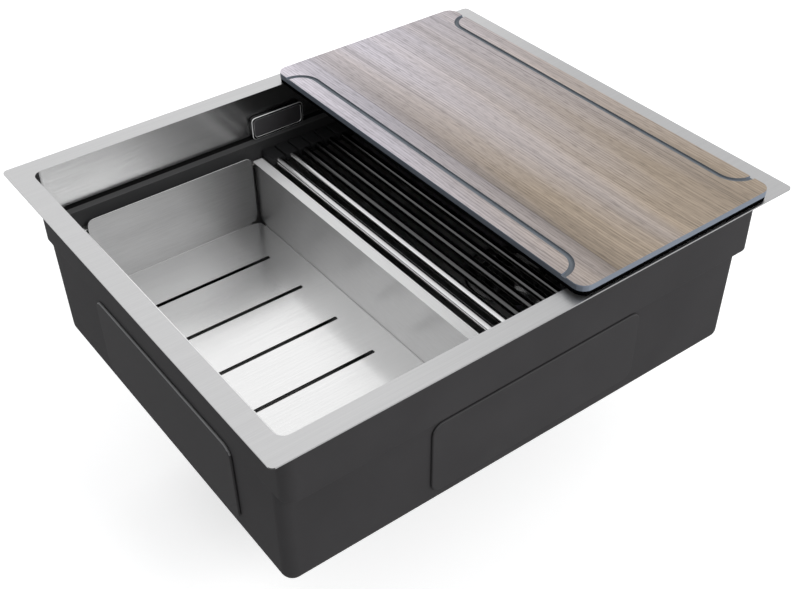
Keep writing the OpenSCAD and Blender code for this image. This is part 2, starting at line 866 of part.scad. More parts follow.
// Perforated basket cup
module basket_cup() {
  color([0.82, 0.83, 0.84])
    translate([drain_x, drain_y, 0])
      difference() {
        rotate_extrude($fn = fn_m)
          polygon([
            [post_r + 0.05, z_basket],
            [basket_r - 4, z_basket],
            [basket_r, z_basket + 4],
            [basket_r, z_basket_top - basket_t],
            [basket_rim_r, z_basket_top - basket_t],
            [basket_rim_r, z_basket_top],
            [basket_r - basket_t, z_basket_top],
            [basket_r - basket_t, z_basket + 4.4],
            [basket_r - 4.4, z_basket + basket_t],
            [post_r + 0.05, z_basket + basket_t]
          ]);
        for (k = [0:basket_slots - 1])
          rotate([0, 0, k * 360 / basket_slots])
            translate([basket_r - 3, -basket_slot_w / 2, z_basket + 8])
              cube([8, basket_slot_w, basket_h - 16]);
      }
}

// Post and knob of the basket
module basket_post() {
  color([0.8, 0.81, 0.82])
    translate([drain_x, drain_y, 0])
      union() {
        translate([0, 0, z_stop - 2])
          cylinder(h = z_basket_top + 6 - z_stop + 2, r = post_r, $fn = fn_s);
        translate([0, 0, z_basket_top + 6])
          cylinder(h = 5, r = knob_r, $fn = fn_s);
        translate([0, 0, z_stop - 3.5])
          cylinder(h = 3.3, r = post_r + 3, $fn = fn_s);
      }
}

// Rubber stopper under the basket
module basket_stopper() {
  color([0.12, 0.12, 0.12])
    translate([drain_x, drain_y, z_stop])
      difference() {
        cylinder(h = stopper_t, r1 = stopper_r - 2, r2 = stopper_r, $fn = fn_m);
        translate([0, 0, -eps])
          cylinder(h = stopper_t + 2 * eps, r = post_r + 0.05, $fn = fn_s);
      }
}

// Colander: folded tray with slotted floor, open corners and side lips
module colander_tray() {
  end_w = col_w - 2 * col_slit;
  side_d = col_d - 2 * col_slit + 8;
  color([0.8, 0.81, 0.82])
    translate([col_x, 0, 0])
      difference() {
        union() {
          translate([-col_w / 2 - col_t, -col_d / 2 - col_t, z_tray - col_t])
            cube([col_w + 2 * col_t, col_d + 2 * col_t, col_t]);
          for (s = [-1, 1]) {
            translate([0, s * (col_d / 2 + col_t / 2), 0])
              rotate([90, 0, 0])
                linear_extrude(col_t, center = true)
                  union() {
                    translate([-end_w / 2, z_tray - col_t])
                      square([end_w, z_col_end - z_tray + col_t - col_end_r]);
                    translate([-end_w / 2 + col_end_r, z_tray])
                      square([end_w - 2 * col_end_r, z_col_end - z_tray]);
                    for (e = [-1, 1])
                      translate([e * (end_w / 2 - col_end_r), z_col_end - col_end_r])
                        circle(col_end_r, $fn = fn_s);
                  }
            translate([s * (col_w / 2 + col_t / 2), 0, (z_tray - col_t + z_lip) / 2])
              cube([col_t, side_d, z_lip - z_tray + col_t], center = true);
            translate([s * (col_w / 2 + col_lip_w / 2), 0, z_lip - col_t])
              linear_extrude(col_t)
                union() {
                  translate([-s * col_lip_r / 2, 0])
                    square([col_lip_w - col_lip_r, 2 * col_lip_end], center = true);
                  square([col_lip_w, 2 * col_lip_end - 2 * col_lip_r], center = true);
                  for (e = [-1, 1])
                    translate([s * (col_lip_w / 2 - col_lip_r), e * (col_lip_end - col_lip_r)])
                      circle(col_lip_r, $fn = fn_s);
                }
          }
        }
        for (sx = [-1, 1], sy = [-1, 1])
          translate([sx * (col_w / 2 + col_t), sy * (col_d / 2 + col_t), z_tray - col_t - eps])
            cylinder(h = col_relief_r + 2, r = col_relief_r, $fn = fn_s);
        for (k = [0:col_slots - 1])
          translate([0, col_slot_y + (k - (col_slots - 1) / 2) * col_slot_pitch, z_tray - col_t - eps])
            linear_extrude(col_t + 2 * eps)
              rr(col_slot_len, col_slot_w, col_slot_w / 2 - 0.01);
      }
}

// Rods of the rack
module rack_rods() {
  color([0.82, 0.83, 0.84])
    for (k = [0:rod_count - 1])
      translate([rod_first_x + k * rod_pitch, 0, z_rod])
        rotate([90, 0, 0])
          cylinder(h = 2 * rod_end_y, r = rod_r, center = true, $fn = fn_s);
}

// Rubber end strip of sign s: a pad on each rod, joined by webs
module rack_strip(s) {
  rod_last_x = rod_first_x + (rod_count - 1) * rod_pitch;
  color([0.22, 0.22, 0.24])
    difference() {
      union() {
        for (k = [0:rod_count - 1])
          translate([rod_first_x + k * rod_pitch, s * (boot_y - boot_len / 2), z_boot])
            linear_extrude(boot_h)
              rr(boot_w, boot_len, 1.5);
        translate([rod_first_x, s * (boot_in_y + (boot_len - web_back) / 2) - (boot_len - web_back - 2) / 2, z_rod - web_t / 2])
          cube([rod_last_x - rod_first_x, boot_len - web_back - 2, web_t]);
      }
      for (k = [0:rod_count - 1])
        translate([rod_first_x + k * rod_pitch, 0, z_rod])
          rotate([90, 0, 0])
            cylinder(h = 2 * rod_end_y + 0.4, r = rod_r + boot_fit, center = true, $fn = fn_s);
    }
}

// Front strip
module rack_strip_front() {
  rack_strip(-1);
}

// Back strip
module rack_strip_back() {
  rack_strip(1);
}

// Flat bar with round ends along Y, w wide and reaching to y = +-len
module round_bar(w, len) {
  square([w, 2 * len - w], center = true);
  for (e = [-1, 1])
    translate([0, e * (len - w / 2)])
      circle(w / 2, $fn = fn_m);
}

// Outline of the juice grooves: straight runs that hook out to the long edges
module groove_line() {
  for (s = [-1, 1])
    translate([s * board_w / 2, 0])
      difference() {
        round_bar(2 * groove_in + groove_w, groove_y + groove_w / 2);
        round_bar(2 * groove_in - groove_w, groove_y - groove_w / 2);
      }
}

// Black base of the board
module board_base() {
  color([0.06, 0.06, 0.06])
    translate([board_x, board_y, 0])
      slab(board_w - 2 * base_inset, board_d - 2 * base_inset, board_r - base_inset, z_board, z_core);
}

// Blue-grey core of the board, with the floors of the grooves
module board_core() {
  color([0.5, 0.54, 0.59])
    translate([board_x, board_y, 0])
      difference() {
        slab(board_w, board_d, board_r, z_core, z_face);
        translate([0, 0, z_face - groove_deep])
          linear_extrude(groove_deep + eps)
            groove_line();
      }
}

// Wood-look face of the board
module board_face() {
  color([0.75, 0.7, 0.64])
    translate([board_x, board_y, 0])
      difference() {
        slab(board_w, board_d, board_r, z_face, z_top);
        translate([0, 0, z_face - eps])
          linear_extrude(face_t + 2 * eps)
            groove_line();
      }
}

rim_plate();
upper_walls();
sink_bowl();
outer_band();
sound_coat();
pad_front();
pad_back();
pad_left();
pad_right();
pads_floor();
rail_front();
rail_back();
overflow_cover();
overflow_panel();
overflow_base();
overflow_screws();
overflow_gasket();
overflow_housing();
overflow_hose();
hose_clamp_top();
hose_clamp_bottom();
drain_body();
drain_tube();
drain_seal();
drain_gasket();
drain_slip_ring();
drain_lock_nut();
drain_adapter();
basket_cup();
basket_post();
basket_stopper();
colander_tray();
rack_rods();
rack_strip_front();
rack_strip_back();
board_base();
board_core();
board_face();
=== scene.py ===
import bpy
import math
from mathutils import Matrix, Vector


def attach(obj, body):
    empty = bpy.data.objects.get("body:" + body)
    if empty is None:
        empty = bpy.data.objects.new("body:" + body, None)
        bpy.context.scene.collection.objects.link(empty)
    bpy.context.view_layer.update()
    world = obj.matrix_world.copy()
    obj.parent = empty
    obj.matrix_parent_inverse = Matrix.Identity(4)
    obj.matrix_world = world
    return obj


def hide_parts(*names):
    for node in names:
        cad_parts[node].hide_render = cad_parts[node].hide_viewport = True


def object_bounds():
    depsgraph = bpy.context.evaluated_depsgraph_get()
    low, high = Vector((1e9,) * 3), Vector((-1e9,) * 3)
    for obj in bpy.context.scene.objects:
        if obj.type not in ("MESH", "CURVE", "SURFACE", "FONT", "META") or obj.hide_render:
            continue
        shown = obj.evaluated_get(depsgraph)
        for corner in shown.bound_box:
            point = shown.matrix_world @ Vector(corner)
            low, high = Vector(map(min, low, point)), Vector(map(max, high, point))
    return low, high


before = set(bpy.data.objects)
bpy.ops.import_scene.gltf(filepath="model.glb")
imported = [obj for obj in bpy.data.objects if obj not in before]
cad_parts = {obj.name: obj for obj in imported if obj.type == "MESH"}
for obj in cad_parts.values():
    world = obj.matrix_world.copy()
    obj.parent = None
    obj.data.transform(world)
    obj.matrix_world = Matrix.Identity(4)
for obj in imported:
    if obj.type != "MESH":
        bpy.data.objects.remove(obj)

cad_low, cad_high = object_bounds()


# ---------------------------------------------------------------------------
# Studio: a pale floor under the drain pipe's end, a surround that is seen and
# mirrored as white but lights at half strength, and three soft panels. The
# camera stands in front of the left corner, above it.
# ---------------------------------------------------------------------------
eye = (-0.57227, -0.77653, 0.64773)
gaze = (0.47622, 0.61480, -0.62867)
camera_data = bpy.data.cameras.new("photo_camera")
camera = bpy.data.objects.new("photo_camera", camera_data)
bpy.context.scene.collection.objects.link(camera)
camera.location = eye
camera.rotation_mode = "QUATERNION"
camera.rotation_quaternion = Vector(gaze).to_track_quat("-Z", "Y")
camera_data.sensor_width = 36.0
camera_data.lens = 52.82
camera_data.shift_x = -0.02178
camera_data.shift_y = -0.01213
camera_data.clip_start = 0.05
camera_data.clip_end = 30.0
bpy.context.scene.camera = camera
bpy.context.scene.view_settings.view_transform = "Standard"

world = bpy.data.worlds.new("white_surround")
bpy.context.scene.world = world
world.use_nodes = True
sky = world.node_tree.nodes
sky_links = world.node_tree.links
sky.clear()
sky_out = sky.new("ShaderNodeOutputWorld")
sky_path = sky.new("ShaderNodeLightPath")
sky_seen = sky.new("ShaderNodeBackground")
sky_seen.inputs["Color"].default_value = (1.0, 1.0, 1.0, 1.0)
sky_seen.inputs["Strength"].default_value = 1.0
sky_lit = sky.new("ShaderNodeBackground")
sky_lit.inputs["Color"].default_value = (0.98, 0.99, 1.0, 1.0)
sky_lit.inputs["Strength"].default_value = 0.5
sky_either = sky.new("ShaderNodeMath")
sky_either.operation = "MAXIMUM"
sky_mix = sky.new("ShaderNodeMixShader")
sky_any = sky.new("ShaderNodeMath")
sky_any.operation = "MAXIMUM"
sky_links.new(sky_path.outputs["Is Camera Ray"], sky_either.inputs[0])
sky_links.new(sky_path.outputs["Is Transmission Ray"], sky_either.inputs[1])
sky_links.new(sky_either.outputs[0], sky_any.inputs[0])
sky_links.new(sky_path.outputs["Is Glossy Ray"], sky_any.inputs[1])
sky_links.new(sky_any.outputs[0], sky_mix.inputs[0])
sky_links.new(sky_lit.outputs[0], sky_mix.inputs[1])
sky_links.new(sky_seen.outputs[0], sky_mix.inputs[2])
sky_links.new(sky_mix.outputs[0], sky_out.inputs[0])

for name, place, aim, wide, high, power in (
    ("panel_left", (-1.7, 0.3, 1.5), (0.0, 0.0, -0.05), 1.4, 1.2, 1.0),
    ("panel_back", (-0.2, 1.9, 1.6), (0.05, 0.1, 0.0), 1.8, 0.9, 20.0),
    ("panel_front", (0.7, -2.0, 1.3), (0.0, 0.0, -0.1), 1.6, 1.0, 32.0),
):
    lamp = bpy.data.lights.new(name, "AREA")
    lamp.shape = "RECTANGLE"
    lamp.size = wide
    lamp.size_y = high
    lamp.energy = power
    panel = bpy.data.objects.new(name, lamp)
    panel.visible_glossy = False
    bpy.context.scene.collection.objects.link(panel)
    panel.location = place
    panel.rotation_mode = "QUATERNION"
    panel.rotation_quaternion = (Vector(aim) - Vector(place)).to_track_quat("-Z", "Y")

floor_wide = 14.0
floor_gap = 0.0006
bpy.ops.object.select_all(action="DESELECT")
bpy.ops.mesh.primitive_plane_add(size=floor_wide, location=(0.0, 0.0, cad_low.z - floor_gap))
floor = bpy.context.object
floor.name = "studio_floor"
bpy.ops.object.transform_apply(location=True, rotation=True, scale=True)
floor_paint = bpy.data.materials.new("pale_floor")
floor_paint.use_nodes = True
floor_nodes = floor_paint.node_tree.nodes
floor_links = floor_paint.node_tree.links
floor_nodes.clear()
floor_out = floor_nodes.new("ShaderNodeOutputMaterial")
floor_path = floor_nodes.new("ShaderNodeLightPath")
floor_matt = floor_nodes.new("ShaderNodeBsdfDiffuse")
floor_matt.inputs["Color"].default_value = (0.86, 0.86, 0.86, 1.0)
floor_glow = floor_nodes.new("ShaderNodeEmission")
floor_glow.inputs["Color"].default_value = (1.0, 1.0, 1.0, 1.0)
floor_glow.inputs["Strength"].default_value = 0.5
floor_both = floor_nodes.new("ShaderNodeAddShader")
floor_mix = floor_nodes.new("ShaderNodeMixShader")
floor_links.new(floor_matt.outputs[0], floor_both.inputs[0])
floor_links.new(floor_glow.outputs[0], floor_both.inputs[1])
floor_links.new(floor_path.outputs["Is Camera Ray"], floor_mix.inputs[0])
floor_links.new(floor_matt.outputs[0], floor_mix.inputs[1])
floor_links.new(floor_both.outputs[0], floor_mix.inputs[2])
floor_links.new(floor_mix.outputs[0], floor_out.inputs[0])
floor.data.materials.append(floor_paint)


# ---------------------------------------------------------------------------
# Bowl: one sheet of stainless steel, folded and welded. The flat rim lies on
# the worktop, and a ledge runs along the front and back walls 54 mm down.
# The inside is brushed along the sink's length. All sizes are in mm.
# ---------------------------------------------------------------------------
rim_x, rim_y, rim_up, rim_corner = 300, 250, 1.5, 5
wall_x, wall_y, wall_corner, fold_r = 278, 228, 10, 3.0
sheet = 1.2
out_x, out_y, out_corner = wall_x + sheet, wall_y + sheet, wall_corner + sheet
ledge_z, fold_top, riser_foot = -52.5, -48.2, -73.5
bowl_y, floor_z, lean_from, lean, fall = 217, -190.5, -56.5, 1.8, 10
tub_top, tub_open = -52.9, -40
drain_at, drain_hole_r, recess_r, recess_z, boss_top = (170, 0), 44, 59, -202.78, -198.58
drain_cut = (-215, -185)
hole_x, hole_z, hole_corner = (-11.5, 18.5), (-45, -31), 4.5


def block(name, low, high):
    """A closed block between two corners, in mm."""
    bpy.ops.object.select_all(action="DESELECT")
    bpy.ops.mesh.primitive_cube_add(size=1, location=[(a + b) / 2000 for a, b in zip(low, high)])
    made = bpy.context.object
    made.name = name
    made.scale = [(b - a) / 1000 for a, b in zip(low, high)]
    bpy.ops.object.transform_apply(location=True, rotation=True, scale=True)
    return made


def hold(piece, *others):
    """Selects a piece, and others with it, and nothing else."""
    bpy.ops.object.select_all(action="DESELECT")
    for each in (piece, *others):
        each.select_set(True)
    bpy.context.view_layer.objects.active = piece


def pick(piece, kind, chosen):
    """Opens a piece with only the chosen VERT, EDGE or FACE parts selected; places are in mm."""
    hold(piece)
    mesh = piece.data
    for parts in (mesh.vertices, mesh.edges, mesh.polygons):
        parts.foreach_set("select", [False] * len(parts))
    bpy.context.tool_settings.mesh_select_mode = (kind == "VERT", kind == "EDGE", kind == "FACE")
    if kind == "VERT":
        for v in mesh.vertices:
            v.select = chosen(v.co * 1000)
    if kind == "EDGE":
        for e in mesh.edges:
            a, b = (mesh.vertices[i].co * 1000 for i in e.vertices)
            e.select = chosen(a, b)
    if kind == "FACE":
        for f in mesh.polygons:
            f.select = chosen(f.center * 1000, f.normal)
    bpy.ops.object.mode_set(mode="EDIT")


def shut():
    """Leaves a piece that pick has opened."""
    bpy.ops.object.mode_set(mode="OBJECT")


def round_edges(piece, chosen, radius, steps):
    """Rounds the chosen edges by a radius in mm."""
    pick(piece, "EDGE", chosen)
    bpy.ops.mesh.bevel(
        offset=radius / 1000, segments=steps, profile=0.5, affect="EDGES", clamp_overlap=False)
    shut()


def upright(a, b):
    """Whether the edge between two points stands upright."""
    return abs(a.x - b.x) < 0.01 and abs(a.y - b.y) < 0.01


def apply_all(piece):
    """Applies a piece's modifiers in their order."""
    hold(piece)
    for step in list(piece.modifiers):
        bpy.ops.object.modifier_apply(modifier=step.name)


def combine(piece, tool, how):
    """Joins, cuts or intersects a piece with a tool, which is used up."""
    step = piece.modifiers.new("combine", "BOOLEAN")
    step.operation = how
    step.solver = "EXACT"
    step.object = tool
    apply_all(piece)
    bpy.data.objects.remove(tool, do_unlink=True)


def soften(piece, radius, steps=2, angle=35):
    """Takes the edge off every fold or rim sharper than the angle, then shades by angle."""
    if radius:
        step = piece.modifiers.new("soften", "BEVEL")
        step.width = radius / 1000
        step.segments = steps
        step.limit_method = "ANGLE"
        step.angle_limit = math.radians(angle)
        step.miter_outer = "MITER_ARC"
        apply_all(piece)
    hold(piece)
    bpy.ops.object.shade_smooth_by_angle(angle=math.radians(32))
    flats = piece.modifiers.new("flats", "WEIGHTED_NORMAL")
    flats.keep_sharp = True
    apply_all(piece)


def round_block(name, low, high, radius, steps=10):
    """A block with its four upright edges rounded."""
    made = block(name, low, high)
    round_edges(made, upright, radius, steps)
    return made


def tub(name, grow, top):
    """
    The lower bowl's form grown on every side, from its floor up to a level. The walls lean in
    towards the floor, and the floor falls to the right, where the drain is.
    """
    low = (-wall_x - grow, -bowl_y - grow, floor_z - grow)
    made = block(name, low, (wall_x + grow, bowl_y + grow, top))
    pick(made, "EDGE", lambda a, b: True)
    bpy.ops.mesh.bisect(plane_co=(0, 0, lean_from / 1000), plane_no=(0, 0, 1))
    shut()
    for axis, side, shift in (
        (0, 1, (-lean, 0, -fall)), (0, -1, (lean, 0, 0)), (1, 1, (0, -lean, 0)), (1, -1, (0, lean, 0)),
    ):
        pick(made, "VERT", lambda p: p.z < lean_from - 10 and p[axis] * side > 0)
        bpy.ops.transform.translate(value=[step / 1000 for step in shift])
        shut()
    round_edges(made, lambda a, b: abs(a.z - b.z) > 0.5 * (a - b).length, wall_corner + grow, 10)
    round_edges(made, lambda a, b: max(a.z, b.z) < floor_z + 10, wall_corner + grow, 8)
    return made


def steel(name, colour, rough, along=(14, 900, 900), streak=0.06, depth=0.00002, painted_shade=None):
    """
    Brushed stainless steel: fine scratches that run the way of the low number in along.
    A painted shade takes the tone down along a direction, from full at one distance to a share at another.
    """
    made = bpy.data.materials.new(name)
    made.use_nodes = True
    nodes = made.node_tree.nodes
    links = made.node_tree.links
    body = nodes["Principled BSDF"]
    body.inputs["Metallic"].default_value = 1.0
    place = nodes.new("ShaderNodeTexCoord")
    stretch = nodes.new("ShaderNodeMapping")
    stretch.inputs["Scale"].default_value = along
    scratch = nodes.new("ShaderNodeTexNoise")
    scratch.inputs["Scale"].default_value = 1.0
    scratch.inputs["Detail"].default_value = 4.0
    scratch.inputs["Roughness"].default_value = 0.65
    links.new(place.outputs["Object"], stretch.inputs["Vector"])
    links.new(stretch.outputs["Vector"], scratch.inputs["Vector"])
    cloud = nodes.new("ShaderNodeTexNoise")
    cloud.inputs["Scale"].default_value = 9.0
    cloud.inputs["Detail"].default_value = 2.0
    links.new(place.outputs["Object"], cloud.inputs["Vector"])
    tone = nodes.new("ShaderNodeValToRGB")
    low = [c * (1 - streak) for c in colour]
    high = [min(1.0, c * (1 + streak)) for c in colour]
    tone.color_ramp.elements[0].position = 0.3
    tone.color_ramp.elements[0].color = (*low, 1)
    tone.color_ramp.elements[1].position = 0.7
    tone.color_ramp.elements[1].color = (*high, 1)
    links.new(scratch.outputs["Fac"], tone.inputs["Fac"])
    links.new(tone.outputs["Color"], body.inputs["Base Color"])
    if painted_shade:
        way, near, far, share = painted_shade
        reach = nodes.new("ShaderNodeVectorMath")
        reach.operation = "DOT_PRODUCT"
        reach.inputs[1].default_value = way
        links.new(place.outputs["Object"], reach.inputs[0])
        fade = nodes.new("ShaderNodeMapRange")
        fade.interpolation_type = "SMOOTHSTEP"
        fade.inputs["From Min"].default_value = near
        fade.inputs["From Max"].default_value = far
        fade.inputs["To Min"].default_value = 1.0
        fade.inputs["To Max"].default_value = share
        links.new(reach.outputs["Value"], fade.inputs["Value"])
        faded = nodes.new("ShaderNodeVectorMath")
        faded.operation = "SCALE"
        links.new(tone.outputs["Color"], faded.inputs[0])
        links.new(fade.outputs["Result"], faded.inputs["Scale"])
        links.new(faded.outputs["Vector"], body.inputs["Base Color"])
    haze = nodes.new("ShaderNodeMapRange")
    haze.inputs["From Min"].default_value = 0.0
    haze.inputs["From Max"].default_value = 1.0
    haze.inputs["To Min"].default_value = rough - 0.06
    haze.inputs["To Max"].default_value = rough + 0.06
    links.new(cloud.outputs["Fac"], haze.inputs["Value"])
    links.new(haze.outputs["Result"], body.inputs["Roughness"])
    ridge = nodes.new("ShaderNodeBump")
    ridge.inputs["Strength"].default_value = 0.35
    ridge.inputs["Distance"].default_value = depth
    links.new(scratch.outputs["Fac"], ridge.inputs["Height"])
    links.new(ridge.outputs["Normal"], body.inputs["Normal"])
    return made


def sprayed(name, colour, rough, grain=900, depth=0.00006, gloss=0.3):
    """Matt paint or sprayed coating: a fine orange-peel skin and a little cloudiness."""
    made = bpy.data.materials.new(name)
    made.use_nodes = True
    nodes = made.node_tree.nodes
    links = made.node_tree.links
    body = nodes["Principled BSDF"]
    body.inputs["Specular IOR Level"].default_value = gloss
    place = nodes.new("ShaderNodeTexCoord")
    cloud = nodes.new("ShaderNodeTexNoise")
    cloud.inputs["Scale"].default_value = 14.0
    cloud.inputs["Detail"].default_value = 3.0
    links.new(place.outputs["Object"], cloud.inputs["Vector"])
    tone = nodes.new("ShaderNodeValToRGB")
    tone.color_ramp.elements[0].position = 0.3
    tone.color_ramp.elements[0].color = (*[c * 0.93 for c in colour], 1)
    tone.color_ramp.elements[1].position = 0.7
    tone.color_ramp.elements[1].color = (*[min(1.0, c * 1.07) for c in colour], 1)
    links.new(cloud.outputs["Fac"], tone.inputs["Fac"])
    links.new(tone.outputs["Color"], body.inputs["Base Color"])
    peel = nodes.new("ShaderNodeTexNoise")
    peel.inputs["Scale"].default_value = grain
    peel.inputs["Detail"].default_value = 2.0
    links.new(place.outputs["Object"], peel.inputs["Vector"])
    haze = nodes.new("ShaderNodeMapRange")
    haze.inputs["To Min"].default_value = rough - 0.05
    haze.inputs["To Max"].default_value = rough + 0.05
    links.new(cloud.outputs["Fac"], haze.inputs["Value"])
    links.new(haze.outputs["Result"], body.inputs["Roughness"])
    skin = nodes.new("ShaderNodeBump")
    skin.inputs["Strength"].default_value = 0.5
    skin.inputs["Distance"].default_value = depth
    links.new(peel.outputs["Fac"], skin.inputs["Height"])
    links.new(skin.outputs["Normal"], body.inputs["Normal"])
    return made


def dress(piece, material):
    """Gives a piece or a CAD node one material all over."""
    if not piece.material_slots:
        piece.data.materials.append(material)
    for place in piece.material_slots:
        place.material = material


def dress_part(piece, material, chosen):
    """Gives the chosen faces of a piece a finish of their own; places are in mm."""
    piece.data.materials.append(material)
    for f in piece.data.polygons:
        if chosen(f.center * 1000, f.normal):
            f.material_index = len(piece.data.materials) - 1


def bar(name, axis, centre, radius, length, sides=48):
    """A round bar along X, Y or Z about a centre, in mm."""
    turn = ((0, math.pi / 2, 0), (math.pi / 2, 0, 0), (0, 0, 0))[axis]
    bpy.ops.object.select_all(action="DESELECT")
    bpy.ops.mesh.primitive_cylinder_add(
        vertices=sides, radius=radius / 1000, depth=length / 1000, rotation=turn,
        location=[c / 1000 for c in centre])
    made = bpy.context.object
    made.name = name
    bpy.ops.object.transform_apply(location=True, rotation=True, scale=True)
    return made


def disc(name, low, high, radius):
    """A round bar on the drain's axis, between two levels."""
    return bar(name, 2, (*drain_at, (low + high) / 2), radius, high - low, 96)


bowl = round_block("bowl_shell", (-rim_x, -rim_y, 0), (rim_x, rim_y, rim_up), rim_corner, 8)
walls_out = round_block("walls_out", (-out_x, -out_y, ledge_z - sheet), (out_x, out_y, 1), out_corner)
combine(bowl, walls_out, "UNION")
combine(bowl, tub("tub_out", sheet, tub_top), "UNION")
combine(bowl, disc("recess_out", recess_z - sheet, boss_top, recess_r + sheet), "UNION")
walls_in = round_block("walls_in", (-wall_x, -wall_y, ledge_z), (wall_x, wall_y, 10), wall_corner)
round_edges(walls_in, lambda a, b: max(a.z, b.z) < ledge_z + 0.5, fold_r, 5)
combine(bowl, walls_in, "DIFFERENCE")
combine(bowl, tub("tub_in", 0, tub_open), "DIFFERENCE")
combine(bowl, disc("recess_in", recess_z, recess_z + 20, recess_r), "DIFFERENCE")
combine(bowl, disc("drain_hole", *drain_cut, drain_hole_r), "DIFFERENCE")
overflow_hole = block(
    "overflow_hole", (hole_x[0], wall_y - 8, hole_z[0]), (hole_x[1], wall_y + 7, hole_z[1]))
round_edges(overflow_hole, lambda a, b: abs(a.y - b.y) > 1, hole_corner, 6)
combine(bowl, overflow_hole, "DIFFERENCE")
for level in (riser_foot, fold_top):
    pick(bowl, "FACE", lambda p, n: True)
    bpy.ops.mesh.bisect(plane_co=(0, 0, level / 1000), plane_no=(0, 0, 1))
    shut()
soften(bowl, 0.5)


def on_rim(p, n):
    return p.z > 0.5 or (p.z > -0.2 and n.z < -0.5)


def on_painted_highlight_arris(p, n):
    """The rim's inner edge, painted bright as a painted highlight."""
    return p.z > 1.0 and 0.2 < n.z < 0.97 and abs(p.x) < wall_x + 3


def on_ledge(p, n):
    return -53 < p.z < -52.2 and n.z > 0.8 and abs(p.y) > bowl_y - 1


def on_riser(p, n):
    """The first strip of wall below the ledge, painted darker as painted shade."""
    return (riser_foot < p.z < -52.2 and bowl_y - 3 < abs(p.y) < bowl_y + 1
            and p.y * n.y < 0 and not on_ledge(p, n))


def in_fold(p, n):
    """The fold from the upper wall to the ledge."""
    return -52.4 < p.z < fold_top and -0.1 < n.z < 0.98 and abs(p.y) > wall_y - 4


def in_painted_reflection_corner(p, n):
    """The upright corners of the upper walls, painted dark as a painted dark reflection."""
    return (p.z > -52 and abs(p.x) > wall_x - 10 and abs(p.y) > wall_y - 10
            and 0.25 < abs(n.x) < 0.97 and abs(n.z) < 0.3)


lengthwise = (14, 900, 900)
rim_brush = (10, 1100, 1100)
# Painted shade: the bowl's steel is painted darker towards the right, where the board shades it.
wall_painted_shade = ((1, 0, 0), -0.225, -0.03, 0.37)
# Painted shade: the rim is painted darker towards its front right corner.
rim_painted_shade = ((1, -1, 0), 0.0, 0.26, 0.82)
dress(bowl, steel("bowl_brushed_steel", (0.82, 0.82, 0.822), 0.24, lengthwise, 0.09, 0.00002, wall_painted_shade))
for look, chosen in (
    (steel("rim_satin_steel", (0.6, 0.6, 0.605), 0.34, rim_brush, 0.05, 0.00002, rim_painted_shade), on_rim),
    # Painted highlight along the rim's inner edge.
    (steel("rim_arris_painted_highlight", (0.95, 0.95, 0.95), 0.2, rim_brush, 0.02), on_painted_highlight_arris),
    # Painted shade: the lower bowl, under the colander and rack, is a darker copy of the bowl's steel.
    (steel("lower_bowl_painted_shade", (0.36, 0.36, 0.362), 0.42), lambda p, n: p.z < riser_foot),
    # Painted reflection: the upper walls' upright corners are painted dark.
    (steel("corner_painted_reflection", (0.1, 0.1, 0.102), 0.3), in_painted_reflection_corner),
    # Painted shade: the ledge, the riser below it and the fold are painted dark grey.
    (sprayed("ledge_painted_shade", (0.085, 0.085, 0.086), 0.5, 900, 0.00003, 0.1), on_ledge),
    (sprayed("riser_painted_shade", (0.038, 0.038, 0.039), 0.5, 900, 0.00003, 0.1), on_riser),
    (sprayed("fold_shade", (0.004, 0.004, 0.004), 0.6, 900, 0.00003, 0.05), in_fold),
):
    dress_part(bowl, look, chosen)
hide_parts("rim_plate", "upper_walls", "sink_bowl")
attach(bowl, "sink")


# ---------------------------------------------------------------------------
# Outer band: a strip of 1 mm sheet folded round the upper walls and turned in
# under them, painted dark grey before the bowl is coated. The overflow comes
# out through a notch at the back.
# ---------------------------------------------------------------------------
band_sheet, band_foot, band_fold = 1.0, -74.5, 1.4
band_x, band_y, band_corner = out_x + band_sheet, out_y + band_sheet, out_corner + band_sheet
return_y = 218.2
notch_x, notch_top = (-27.5, 34.5), -20
band = round_block("band_shell", (-band_x, -band_y, band_foot), (band_x, band_y, 0), band_corner)
round_edges(band, lambda a, b: max(a.z, b.z) < band_foot + 0.5, band_fold, 4)
for name, low, high in (
    ("band_in", (-out_x, -out_y, band_foot + band_sheet), (out_x, out_y, 2)),
    ("band_return", (-out_x, -return_y, -80), (out_x, return_y, -70)),
):
    combine(band, round_block(name, low, high, out_corner), "DIFFERENCE")
combine(band, block("band_notch", (notch_x[0], 217, -80), (notch_x[1], 240, notch_top)), "DIFFERENCE")
soften(band, 0.2)
dress(band, sprayed("band_dark_paint", (0.045, 0.0435, 0.045), 0.6, 700, 0.0001, 0.05))
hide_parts("outer_band")
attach(band, "sink")


# ---------------------------------------------------------------------------
# Coating: a rubbery sound-deadening paint sprayed over the lower bowl from
# the outside. It starts under the band and goes over the pads.
# ---------------------------------------------------------------------------
coat_thick, coat_boss_top = 0.8, -199.4
coat_off = sheet + coat_thick
coating = tub("coating", coat_off, tub_top)
combine(coating, disc("boss_out", recess_z - coat_off, coat_boss_top, recess_r + coat_off), "UNION")
combine(coating, tub("coating_in", sheet, tub_open), "DIFFERENCE")
combine(coating, disc("boss_in", recess_z - sheet, -190, recess_r + sheet), "DIFFERENCE")
combine(coating, disc("coating_hole", *drain_cut, drain_hole_r), "DIFFERENCE")
combine(coating, block("coating_top", (-rim_x, -rim_x, band_foot), (rim_x, rim_x, -30)), "DIFFERENCE")
soften(coating, 0.15)
dress(coating, sprayed("coating_grey", (0.045, 0.0435, 0.045), 0.62, 700, 0.00012, 0.05))
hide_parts("sound_coat")
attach(coating, "sink")
